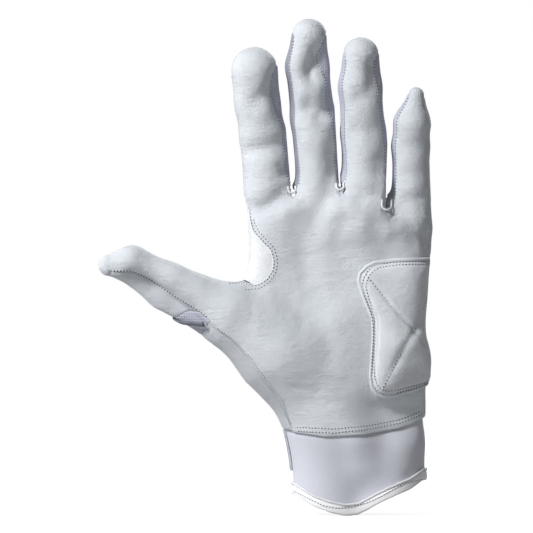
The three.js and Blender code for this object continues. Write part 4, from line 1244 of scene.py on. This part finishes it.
def backRays():
    top = flatRays(knucklePlaces, 1, tiltAt(knucklePlaces, ulnarEdge[0]))
    left = backEdge(-edgeGap / 2) + webFrom(webThumbSteps + 1, webSteps - flexSteps, 1)
    wrist = seamLine(backSeams["wrist"], len(top) - 1)
    bottom = flatRays(wrist, 1, tiltAt(wrist, wrist[-1, 0]))
    line = np.concatenate([fromPixel(palmSeams["ulnar"][:-1]), knucklePlaces[-1:]])
    right = flatRays(resample(line, len(left)), 1, sideTilt)
    return patchRays(handField, bottom, top, left, right)


addHandPiece("back_panel", [backRays()], "back", "back_leather")
thumbBase = {"fold": 40, "bulge": 14}


def thumbBaseBack():
    rows = thenarRows + webThumbSteps
    front = flatRays(shifted(seamLine(palmSeams["thumb"], rows), edgeGap / 2), -1)
    back = backEdge(edgeGap / 2) + webFrom(webThumbSteps - 1, 0, 1)
    turns = np.linspace(0, math.pi, thumbBase["fold"] + 1)
    origin = mix(front.origin[0], back.origin[0], turns[:, None] / math.pi)
    origin[:, 0] = mix(origin[:, 0], front.origin[0, 0] + thumbBase["bulge"], np.sin(turns))
    fold = Rays(origin, np.stack([-np.sin(turns), -np.cos(turns), np.zeros_like(turns)], axis=1))
    turn = seamTurn(thumb)
    low, high = -thumb["left"][1] - turn, webPanel["thumbAngles"][1] - fullTurn + turn
    ring = rootRays("thumb", np.linspace(low, high, thumbBase["fold"] + 1))
    return patchRays(handField, fold, ring, front, back)


thumb = digits["thumb"]
addHandPiece("thumb_base_back", [thumbBaseBack()], "back", "back_leather", relief=frontRelief)
print("stage: back")

# Thumb beyond its hinge: how far tip panel and trim stay from it, as (angle, distance)
thumbBack = {
    "tipStarts": [(100, 10), (140, 14), (180, 17), (225, 19), (270, 18), (300, 12), (329, 7)],
    "columns": 60, "flexRows": 24, "flexSink": 0.15,
}
trim = {
    "starts": [(120, 8), (160, 11), (200, 14), (240, 15.5), (270, 15), (285, 11), (300, 7), (318, 2)],
    "steps": 60, "lift": 0.4, "reliefShare": 0.3, "halfWidth": 1.5, "halfHeight": 0.7,
}


def tipStart(angles):
    return np.interp(angles, *np.array(thumbBack["tipStarts"], float).T)


backAngles = panelAngles("thumb", thumb["right"][1], fullTurn - thumb["left"][1], thumbBack["columns"])
tipGrid = digitPanel("thumb", backAngles, -1, tipStart)
addDigitPiece("thumb_back_tip", "thumb", tipGrid, "back", "back_leather")
flexShares = np.linspace(0, 1, thumbBack["flexRows"] + 1)[:, None]
flexShares = (tipStart(backAngles)[None] - edgeGap) * flexShares / thumb["shaft"]
flexGrid = digitRays(thumb, flexShares, backAngles[None])
flexLevels = leather - thumbBack["flexSink"], leather - fabric - thumbBack["flexSink"]
addDigitPiece("thumb_knuckle_flex", "thumb", flexGrid, "knit", "stretch_fabric", *flexLevels)
trimAngles = np.linspace(trim["starts"][0][0], trim["starts"][-1][0], trim["steps"])
trimShares = np.interp(trimAngles, *np.array(trim["starts"], float).T) / thumb["shaft"]
trimRays = digitRays(thumb, trimShares, trimAngles)
trimHits = trimRays.hit(joinedFields["thumb"], leather + trim["lift"])
trimRise = trimRays.direction * frontRelief(trimHits, trimRays.direction)[:, None] * trim["reliefShare"]
sweep(
    "thumb_flex_trim", trimHits + trimRise, trimRays.direction, trim["halfWidth"], trim["halfHeight"], "trim",
    "thumb_flex_trim", blendOf("thumb"),
)
print("stage: thumb")

# Cuff, hem, strap and fastener go round the wrist; places on them are angles in degrees
cuff = {
    "half": (34.0, 23.0), "thickness": 1.4, "columns": 220, "rows": 40,
    "overlap": 6.0, "tuckStart": 1.5, "tuckDepth": 0.8, "tuckRows": 6,
    "ventCentre": 188, "ventHalf": 10, "ventLap": 8, "ventColumns": 30, "ventRows": 24,
}
hem = {
    "front": [
        (291, 494), (300, 499), (312, 506), (325, 511), (340, 514.5), (357, 513), (371, 508), (387, 500),
        (402, 493), (414, 488), (427, 480),
    ],
    "back": [(291, 494), (360, 490), (427, 480)],
    "stitches": [
        (293, 490), (300, 493.5), (311, 498.5), (324, 504.5), (337, 506.5), (352, 505.5), (367, 501),
        (381, 494.5), (393, 487.5), (405, 481.5), (416, 479.5), (424, 478.5),
    ],
    "height": 4.6, "rows": 12, "swell": 0.75, "lift": 0.1,
    "pipingInset": 0.8, "pipingRise": 0.6, "pipingLevel": 0.35, "pipingRadius": 0.7,
}
strap = {
    "bottom": 14, "top": 34, "start": 254, "end": 132, "columns": 120, "rows": 24, "thickness": 1.3,
    "overAnchor": 2.2, "riseAngle": 70, "cornerAngle": 6, "cornerShare": 0.25, "swell": 0.25,
    "grooveAt": 0.82, "grooveDepth": 0.35, "grooveWidth": 0.05,
}
# Each: low and high angle, columns, bottom and top height, rows, outer and inner level, body
wristPatches = {
    "strap_anchor": (256.5, 266, 8, 14, 34, 16, 1.3, 0.0, "back", "back_leather", "hand"),
    "loop_patch": (139, 174, 30, 16.5, 31.5, 8, 0.8, 0.0, "fastener", "fastener", "hand"),
    "hook_patch": (142, 170, 30, 16.5, 31.5, 8, 1.9, 1.1, "fastener", "fastener", "strap"),
}


def wristRays(heights, angles):
    heights, angles = np.broadcast_arrays(np.asarray(heights, float), np.radians(angles))
    level = np.zeros_like(heights)
    across, away = cuff["half"]
    direction = np.stack([across * np.sin(angles), -away * np.cos(angles), level], axis=-1)
    return Rays(np.stack([level, level, heights], axis=-1), direction)


def wristHeight(front, back, angles):
    turn = np.radians(angles)
    x = cuff["half"][0] * np.sin(turn)
    return np.where(np.cos(turn) > 0, valueAt(front, x), valueAt(back, x))


hemTables = heightTable(hem["front"]), heightTable(hem["back"])
edgeTables = heightTable(palmSeams["wrist"]), heightTable(backSeams["wrist"])


def hemHeight(angles):
    return wristHeight(*hemTables, angles)


def edgeHeight(angles):
    return wristHeight(*edgeTables, angles)


def cuffGrid(low, high, columns, bottomLift, rows):
    angles = np.linspace(low, high, columns + 1)
    bottom, top = hemHeight(angles) + bottomLift, edgeHeight(angles) - cuff["tuckStart"]
    heights = mix(bottom, top, np.linspace(0, 1, rows)[:, None])
    tuckShares = np.linspace(0, 1, cuff["tuckRows"] + 1)[1:]
    tucked = mix(top, edgeHeight(angles) + cuff["overlap"], tuckShares[:, None])
    tuckLevels = np.linspace(0, -cuff["tuckDepth"], cuff["tuckRows"] + 1)[1:]
    levels = np.concatenate([np.zeros(rows), tuckLevels])[:, None]
    return wristRays(np.concatenate([heights, tucked]), angles[None]), levels


def strapLevel(angles):
    rise = smooth(clampShare((strap["start"] - angles) / strap["riseAngle"]))
    return mix(layerGap, strap["overAnchor"], rise)


def band(node, low, high, columns, heights, finish, slot, outer, inner, body="hand", drop=0.3):
    angles = np.linspace(low, high, columns + 1)
    grid = wristRays(heights(angles), angles[None])
    addHandPiece(node, [grid], finish, slot, outer, inner, drop=drop, body=body)


ventAngles = cuff["ventCentre"] + cuff["ventHalf"], cuff["ventCentre"] + fullTurn - cuff["ventHalf"]
cuffRays, cuffLevels = cuffGrid(*ventAngles, cuff["columns"], 0, cuff["rows"])
addHandPiece(
    "wrist_cuff", [cuffRays], "neoprene", "neoprene", cuffLevels - layerGap,
    cuffLevels - layerGap - cuff["thickness"], relief=frontRelief,
)
ventReach = cuff["ventHalf"] + cuff["ventLap"]
ventEnds = cuff["ventCentre"] - ventReach, cuff["ventCentre"] + ventReach
ventRays, ventLevels = cuffGrid(*ventEnds, cuff["ventColumns"], hem["height"], cuff["ventRows"])
ventLevels = ventLevels - layerGap * 2 - cuff["thickness"]
# The vent gusset gets the darker knit as painted shade
addHandPiece("cuff_vent_gusset", [ventRays], "knitShade", "stretch_fabric", ventLevels, ventLevels - fabric)

bindingRows = np.linspace(0, 1, hem["rows"] + 1)[:, None]
bindingSwell = hem["swell"] * np.sqrt(np.clip(1 - (2 * bindingRows - 1) ** 4, 0, 1))
band(
    "hem_binding", *ventAngles, cuff["columns"], lambda a: hemHeight(a) + hem["height"] * bindingRows,
    "binding", "gusset_leather", bindingSwell + hem["lift"], 0.0, drop=0,
)
pipingEnds = ventAngles[0] + hem["pipingInset"], ventAngles[1] - hem["pipingInset"]
pipingAngles = np.linspace(*pipingEnds, cuff["columns"])
pipingRays = wristRays(hemHeight(pipingAngles) + hem["height"] + hem["pipingRise"], pipingAngles)
sweep(
    "hem_piping", settled(pipingRays.hit(handField, hem["pipingLevel"])), pipingRays.direction,
    hem["pipingRadius"], hem["pipingRadius"], "web", "hem_piping", None,
)

strapAngles = np.linspace(strap["start"], strap["end"], strap["columns"] + 1)
strapMiddle, strapHalf = (strap["bottom"] + strap["top"]) / 2, (strap["top"] - strap["bottom"]) / 2
cornerShares = clampShare(1 - (strapAngles - strap["end"]) / strap["cornerAngle"]) ** 2
strapHalves = strapHalf * (1 - strap["cornerShare"] * cornerShares)
strapRows = np.linspace(-1, 1, strap["rows"] + 1)[:, None]
strapGroove = np.exp(-((np.abs(strapRows) - strap["grooveAt"]) / strap["grooveWidth"]) ** 2)
strapSwell = strap["swell"] * np.clip(1 - strapRows ** 4, 0, 1) - strap["grooveDepth"] * strapGroove
strapInner = strapLevel(strapAngles)[None]
band(
    "closure_strap", strap["start"], strap["end"], strap["columns"],
    lambda a: strapMiddle + strapRows * strapHalves, "back", "back_leather",
    strapInner + strap["thickness"] + strapSwell, strapInner, "strap",
)
for node, (low, high, columns, bottom, top, rows, outer, inner, finish, slot, body) in wristPatches.items():
    heights = np.linspace(bottom, top, rows + 1)[:, None]
    band(node, low, high, columns, lambda a: heights + 0 * a, finish, slot, outer, inner, body)
print("stage: wrist")

# Heel patch: a padded cover that wraps round the outline of the hand
heel = {
    "top": [(358, 272), (365, 265), (373, 261), (395, 258), (427, 257)],
    "bottom": [(375, 396), (382, 399), (395, 397), (412, 391), (428, 385)],
    "left": [
        (375, 396), (369, 387), (367, 376), (370, 342), (370, 320), (361, 298), (356, 281), (358, 272),
    ],
    "right": [(428, 385), (427, 340), (428, 300), (427, 257)],
    "cross": [
        Stroke([(362, 271), (387, 302), (411, 332), (420, 346), (429, 361)], 1.1, -0.55),
        Stroke([(379, 392), (395, 362), (411, 332), (419, 313), (427, 293)], 1.7, -0.8),
    ],
    "rows": 130, "columns": 76, "edgeX": 33.0, "turn": 1.02, "turnLimit": 0.995, "gap": 0.5, "wall": 0.2,
    "lip": 0.9, "lipWidth": 0.9, "pillow": 2.3, "pillowStart": 2.0, "pillowWidth": 3.2,
    "crossStart": 4, "crossFade": 4, "foamInset": (10, 8), "foamLevel": (1.2, 0.3), "fill": 0.8,
}
# Stitched grooves, and painted shade along the border and in its groove: distance from it, width and amount
heelGrooves = [(2.1, 0.5, -0.55), (3.6, 0.5, -0.35)]
heelPaintedShade = [(0, 0.5, 0.9), (2.1, 0.4, 0.5)]


def heelLine(pixels, steps):
    places = seamLine(pixels, steps)
    return flatRays(places, -1, np.minimum(tiltAt(places, heel["edgeX"]) * heel["turn"], heel["turnLimit"]))


def alongBorder(away, lines):
    return sum(amount * np.exp(-((away - place) / width) ** 2) for place, width, amount in lines)


heelGrid = patchRays(
    handField, heelLine(heel["bottom"], heel["columns"]), heelLine(heel["top"], heel["columns"]),
    heelLine(heel["left"], heel["rows"]), heelLine(heel["right"], heel["rows"]),
)
heelHits = heelGrid.hit(handField, leather)
heelBorder = np.concatenate([heelHits[0], heelHits[-1], heelHits[:, 0], heelHits[:, -1]])
heelTree = treeOf(heelBorder)


def heelLift(p, directions):
    away = gapsTo(heelTree, p)
    pillow = heel["pillow"] * (1 - np.exp(-np.maximum(away - heel["pillowStart"], 0) / heel["pillowWidth"]))
    lip = heel["lip"] * smooth(clampShare(away / heel["lipWidth"]))
    inner = smooth(clampShare((away - heel["crossStart"]) / heel["crossFade"]))
    cross = sum(stroke.lift(p) for stroke in heel["cross"]) * inner
    return heel["gap"] + lip + pillow + alongBorder(away, heelGrooves) + cross


heelSkin = addHandPiece(
    "heel_patch_cover", [heelGrid], "patch", "palm_leather", leather, leather + heel["wall"], relief=heelLift,
    drop=0,
)
# Painted shade: dark lines at the patch's border and in its stitched groove
heelSkin.paintedShade = alongBorder(gapsTo(treeOf(settled(heelBorder)), heelSkin.outer), heelPaintedShade)
foamRows, foamColumns = heel["foamInset"]
foamGrid = heelGrid[foamRows:-foamRows, foamColumns:-foamColumns]
foamTop, foamBottom = (leather + level for level in heel["foamLevel"])
addHandPiece("heel_patch_foam", [foamGrid], "foam", "foam", foamTop, foamBottom)
print("stage: heel patch")

# Skins that share a hinge line share its normals too
shared = [skin for skin, _ in queue if skin.name == "palm_leather" or skin.name.endswith("_front")]
sums = np.concatenate([skin.normals for skin in shared])
spotTree = treeOf(np.concatenate([skin.outer for skin in shared]))
for skin in shared:
    for i, point in enumerate(skin.outer):
        if hingeTree.find(point)[2] < skinLook["hingeReach"]:
            close = spotTree.find_range(point, skinLook["normalReach"])
            skin.normals[i] = sums[[index for _, index, _ in close]].sum(0)
for skin, options in queue:
    skin.build(*options)
print("stage: skins")

# Stitches: light thread with a needle hole between one stitch and the next, coloured dark as painted shade.
# Sizes of a bead are half its length as a share of the pitch, half its width and its height.
stitch = {
    "sides": 6, "rings": 5, "thread": (0.28, 0.2, 0.17), "hole": (0.27, 0.31, 0.14),
    "threadLift": 0.03, "holeSink": 0.01, "aim": 0.2, "edgeX": 33.4,
}


def beadShape(sides, rings):
    points, faces = [], []
    for i in range(rings + 1):
        turn = math.pi * i / rings
        for j in range(sides):
            roll = 2 * math.pi * j / sides
            points.append((-math.cos(turn), math.sin(turn) * math.cos(roll), math.sin(turn) * math.sin(roll)))
    for i in range(rings):
        for j in range(sides):
            k = (j + 1) % sides
            faces.append((i * sides + j, i * sides + k, (i + 1) * sides + k, (i + 1) * sides + j))
    return np.array(points), faces


beadPoints, beadFaces = beadShape(stitch["sides"], stitch["rings"])


def beads(name, centres, along, normals, sizes, finish, body, blend):
    across = unit(np.cross(normals, along))
    axes = np.stack([along * sizes[0], across * sizes[1], normals * sizes[2]], axis=1)
    points = (centres[:, None] + np.einsum("vk,nkd->nvd", beadPoints, axes)).reshape(-1, 3)
    faces = [tuple(i + n * len(beadPoints) for i in face) for n in range(len(centres)) for face in beadFaces]
    meshPiece(name, points, faces, finish, body, None, blend)


def upright(normals, along):
    return unit(normals - along * (normals * along).sum(1)[:, None])


def stitchRow(
    name, rays, field=handField, lift=frontRelief, pitch=1.6, level=leather, body="hand", blend=None,
    size=1.0,
):
    hits = rays.hit(field, level)
    hits = settled(raised(hits, rays.direction, lift) if lift else hits)
    lengths = lengthsAlong(hits)
    count = max(2, int(lengths[-1] / pitch))

    def at(values, places):
        return placesAt(places / count * lengths[-1], lengths, values)

    middles = np.arange(count) + 0.5
    centres, normals = at(hits, middles), at(rays.direction, middles)
    along = unit(at(hits, middles + stitch["aim"]) - at(hits, middles - stitch["aim"]))
    normals = upright(normals, along)
    length, width, height = stitch["thread"]
    sizes = length * pitch, width * size, height * size
    centres = centres + normals * stitch["threadLift"]
    beads(f"{name}_thread", centres, along, normals, sizes, "thread", body, blend)
    ends, along = np.arange(1, count), along[1:]
    outs = upright(at(rays.direction, ends), along)
    # Needle holes: dark beads whose colour is painted shade
    length, width, height = stitch["hole"]
    sizes = length * pitch, width * size, height
    centres = at(hits, ends) - outs * stitch["holeSink"]
    beads(f"{name}_holes", centres, along, outs, sizes, "hole", body, blend)


def frontRow(name, pixels, steps=200, **options):
    places = seamLine(pixels, steps)
    stitchRow(name, flatRays(places, -1, tiltAt(places, stitch["edgeX"])), **options)


# Rows in the web: first and last station and how far inside its seam they lie.
# Rows on the front: pixels along them, then what differs from other rows.
webRows = {"inner": (2, webSteps - 1, -0.7), "outer": (14, webSteps - 6, -2.2)}
frontRows = {
    "wrist_upper": ([(295, 426), (333, 427.5), (369, 424.5), (399, 419), (429, 407.5)], {}),
    "wrist_lower": ([(296, 430), (333, 431.5), (369, 428), (399, 422.5), (429, 411)], {}),
    "thenar_seam": (
        [(291.5, 425), (283, 400), (266, 378.5), (252, 358.5), (235, 340.5), (216, 326.5)],
        {"pitch": 1.3, "size": 0.7},
    ),
}
for label, (first, last, shift) in webRows.items():
    stitchRow(f"web_seam_{label}", webRays(np.arange(first, last), 0, shift))
for name, (pixels, options) in frontRows.items():
    frontRow(name, pixels, **options)

# Rows on the heel patch; a border row's insets are rows and columns of the patch's grid
heelRows = {
    "insets": {"outer": (3.4, 3.8), "inner": (6.6, 7.2)}, "borderPitch": 1.55,
    "points": 400, "smoothing": 120,
    "crosses": {
        "falling": [(364, 273), (387, 302), (411, 332), (420, 346), (428, 359)],
        "rising": [(381, 389), (395, 362), (411, 332), (419, 313), (427, 295)],
    },
    "crossSteps": 120, "crossPitch": 1.75,
}


# A smooth line across a grid of rays, through the given rows and columns
def gridPath(grid, cells):
    rows, columns = np.array(cells, float).T
    steps = np.concatenate([[0], np.cumsum(np.hypot(np.diff(rows), np.diff(columns)))])
    spread = np.linspace(0, steps[-1], heelRows["points"])
    rows, columns = np.interp(spread, steps, rows), np.interp(spread, steps, columns)
    for _ in range(heelRows["smoothing"]):
        rows[1:-1] = (rows[:-2] + rows[2:]) / 2
        columns[1:-1] = (columns[:-2] + columns[2:]) / 2
    low, left = np.floor(rows).astype(int), np.floor(columns).astype(int)
    low, left = np.minimum(low, grid.origin.shape[0] - 2), np.minimum(left, grid.origin.shape[1] - 2)
    up, over = (rows - low)[:, None], (columns - left)[:, None]

    def part(values):
        below = mix(values[low, left], values[low, left + 1], over)
        above = mix(values[low + 1, left], values[low + 1, left + 1], over)
        return mix(below, above, up)

    return Rays(part(grid.origin), part(grid.direction))


for label, (rows, columns) in heelRows["insets"].items():
    top = heel["rows"] - rows
    corners = [  # rounded by a few steps of the grid
        (rows, heel["columns"]), (rows, columns + 5), (rows + 2, columns + 2), (rows + 6, columns),
        (top - 12, columns), (top - 3, columns + 3), (top, columns + 12), (top, heel["columns"]),
    ]
    border = gridPath(heelGrid, corners)
    stitchRow(f"heel_border_{label}", border, lift=heelLift, pitch=heelRows["borderPitch"])
for label, pixels in heelRows["crosses"].items():
    pitch = heelRows["crossPitch"]
    frontRow(f"heel_cross_{label}", pixels, heelRows["crossSteps"], lift=heelLift, pitch=pitch)
frontRow("hem_row", hem["stitches"], pitch=1.5, size=0.8, level=0.9)

# Seams along the digits: a fine row on the leather beside each seam
digitRows = {"low": 0.02, "high": 0.99, "steps": 160, "pitch": 1.5, "size": 1.3, "thumbAway": 1.2}
seamRows = {"seam_left": ("left", -1, 1.1), "seam_right": ("right", 1, -1.1)}


def digitRow(name, label, angle, away):
    digit = digits[name]
    side = math.copysign(math.degrees(abs(away) / (digit["radius"] + leather)), away)
    shares = np.linspace(digitRows["low"], digitRows["high"], digitRows["steps"])
    rays = digitRays(digit, shares, np.full(digitRows["steps"], angle + side))
    stitchRow(
        f"{name}_{label}", rays, joinedFields[name], pitch=digitRows["pitch"], blend=blendOf(name),
        size=digitRows["size"],
    )


for name in fingerNames:
    for label, (side, way, away) in seamRows.items():
        digitRow(name, label, way * digits[name][side][0], away)
digitRow("thumb", "seam_low", -thumb["left"][0], digitRows["thumbAway"])

# Bound edges at the bottom of each slit, laid on the leather: radius and arm of each U
slitBars = {
    "sizes": [(1.7, 1.6), (1.7, 1.6), (2.3, 2.6)], "lift": 1, "turnSteps": 18, "armSteps": 4, "smoothing": 3,
    "halfWidth": 0.5, "halfHeight": 0.45,
}


def slitBar(index):
    crotch = crotches[index]
    radius, arm = slitBars["sizes"][index]
    turns = np.linspace(math.pi, 2 * math.pi, slitBars["turnSteps"] + 1)[:, None]
    centre = crotch["bottom"] + crotch["up"] * (radius - slitBars["lift"])
    points = centre + radius * (np.cos(turns) * crotch["across"] + np.sin(turns) * crotch["up"])
    rise = np.linspace(1, 0, slitBars["armSteps"] + 1)[:-1, None] * arm * crotch["up"]
    points = np.concatenate([points[:1] + rise, points, points[-1:] + rise[::-1]])
    rays = flatRays(points, -1)
    depths = raised(rays.hit(handField, leather), rays.direction)[:, 1]
    for gather in (np.min, np.mean):
        depths = np.pad(depths, slitBars["smoothing"], "edge")
        around = [depths[i:i + len(points)] for i in range(2 * slitBars["smoothing"] + 1)]
        depths = gather(around, axis=0)
    points[:, 1] = depths
    name = f"crotch_bar_{fingerNames[index]}_{fingerNames[index + 1]}"
    out = np.tile([0, -1.0, 0], (len(points), 1))
    sweep(name, points, out, slitBars["halfWidth"], slitBars["halfHeight"], "thread")


for index in range(len(crotches)):
    slitBar(index)

# Rows on the back: distance beyond the tip panel's edge, side of the strap, drop from the knuckles
backRows = {
    "tip": {"upper": 1.2, "lower": 2.7}, "tipAngles": (112, 318), "tipSteps": 160,
    "strap": {"low": -8.2, "high": 8.2}, "strapInset": (-1, 6), "strapLift": 1.2, "strapSteps": 240,
    "knuckles": {"upper": 1.0, "lower": 2.6}, "knuckleInset": 4,
}
tipAngles = np.linspace(*backRows["tipAngles"], backRows["tipSteps"])
for label, away in backRows["tip"].items():
    rays = digitRays(thumb, (tipStart(tipAngles) + away) / thumb["shaft"], tipAngles)
    stitchRow(
        f"thumb_tip_row_{label}", rays, joinedFields["thumb"], lift=None, pitch=1.4, blend=blendOf("thumb"),
        size=0.7,
    )
first, last = (strap[end] + inset for end, inset in zip(("start", "end"), backRows["strapInset"]))
rowAngles = np.linspace(first, last, backRows["strapSteps"])
for label, side in backRows["strap"].items():
    rays = wristRays(strapMiddle + side * np.ones(len(rowAngles)), rowAngles)
    level = strapLevel(rowAngles) + backRows["strapLift"]
    stitchRow(f"strap_row_{label}", rays, lift=None, level=level, body="strap", size=0.8)
knuckleLine = knucklePlaces[backRows["knuckleInset"]:-backRows["knuckleInset"]]
for label, drop in backRows["knuckles"].items():
    rays = flatRays(knuckleLine - up * drop, 1, tiltAt(knuckleLine, ulnarEdge[0]))
    stitchRow(f"back_row_{label}", rays, lift=None)
print("stage: stitches")

# Camera: far away, so that the glove is seen almost without perspective
centre = Vector((-0.04488, 0, 0.11208))
view = {"distance": 2.5, "width": 0.25584, "sensor": 36, "clipEnd": 20}
cameraData = bpy.data.cameras.new("camera")
cameraData.lens = view["sensor"] * view["distance"] / view["width"]
cameraData.sensor_width = view["sensor"]
cameraData.clip_end = view["clipEnd"]
camera = bpy.data.objects.new("camera", cameraData)
camera.location = centre + Vector((0, -view["distance"], 0))
camera.rotation_euler = (math.radians(90), 0, 0)
bpy.context.scene.collection.objects.link(camera)
bpy.context.scene.camera = camera

# Lamps: place, width and height in metres, and power in watts
lamps = {
    "keyLight": ((-0.9, -0.74, 0.92), (0.3, 0.3), 21.5),
    "fillLight": ((0.3, -1.5, 0.3), (1.0, 1.0), 0.8),
    "rimLight": ((-0.9, 0.4, 0.35), (0.4, 0.6), 2),
    "backLight": ((0.5, 1.3, 0.9), (0.8, 0.8), 9),
}
for name, (place, size, power) in lamps.items():
    data = bpy.data.lights.new(name, "AREA")
    data.shape = "RECTANGLE"
    data.size, data.size_y = size
    data.energy = power
    lamp = bpy.data.objects.new(name, data)
    lamp.location = place
    lamp.rotation_euler = (centre - Vector(place)).to_track_quat("-Z", "Y").to_euler()
    bpy.context.scene.collection.objects.link(lamp)

# World: white to the camera, dim on the glove
sky = {"colour": (1, 1, 1, 1), "litStrength": 0.14, "seenStrength": 1.0}
world = bpy.data.worlds.new("world")
world.use_nodes = True
bpy.context.scene.world = world
worldNodes = Nodes(world.node_tree)
seen = worldNodes.node("ShaderNodeLightPath", output="Is Camera Ray")
shades = [
    worldNodes.node("ShaderNodeBackground", Color=sky["colour"], Strength=sky[strength])
    for strength in ("litStrength", "seenStrength")
]
mixed = worldNodes.node("ShaderNodeMixShader", i0=seen, i1=shades[0], i2=shades[1])
plug(world.node_tree, mixed, world.node_tree.nodes["World Output"].inputs["Surface"])

# Floor: glows towards white for the camera, a little less near the glove
floorLook = {
    "level": -0.0068, "sides": (-3, 3), "depth": (-2, 1.2), "colour": (0.45, 0.45, 0.45, 1), "roughness": 0.9,
    "nearGlow": 0.8, "farGlow": 0.2, "glowSlope": 0.9, "glowStart": 0.2,
}
left, right = floorLook["sides"]
near, far = floorLook["depth"]
corners = [(left, near), (right, near), (right, far), (left, far)]
floorMesh = bpy.data.meshes.new("floor")
floorMesh.from_pydata([(*corner, floorLook["level"]) for corner in corners], [], [(0, 1, 2, 3)])
floor = bpy.data.objects.new("floor", floorMesh)
finish = Finish("floor")
direct = finish.node("ShaderNodeLightPath")
reach = finish.node("ShaderNodeVectorMath", output="Value", settings={"operation": "LENGTH"}, i0=finish.place)
fade = (reach * floorLook["glowSlope"] - floorLook["glowStart"]).clamp()
glow = direct * (floorLook["nearGlow"] + fade * floorLook["farGlow"])
floorMesh.materials.append(finish.set(
    Base_Color=floorLook["colour"], Roughness=floorLook["roughness"], Emission_Color=glow,
    Emission_Strength=1.0,
))
bpy.context.scene.collection.objects.link(floor)
bpy.context.scene.view_settings.view_transform = "Standard"
print("stage: studio")

bpy.context.view_layer.update()
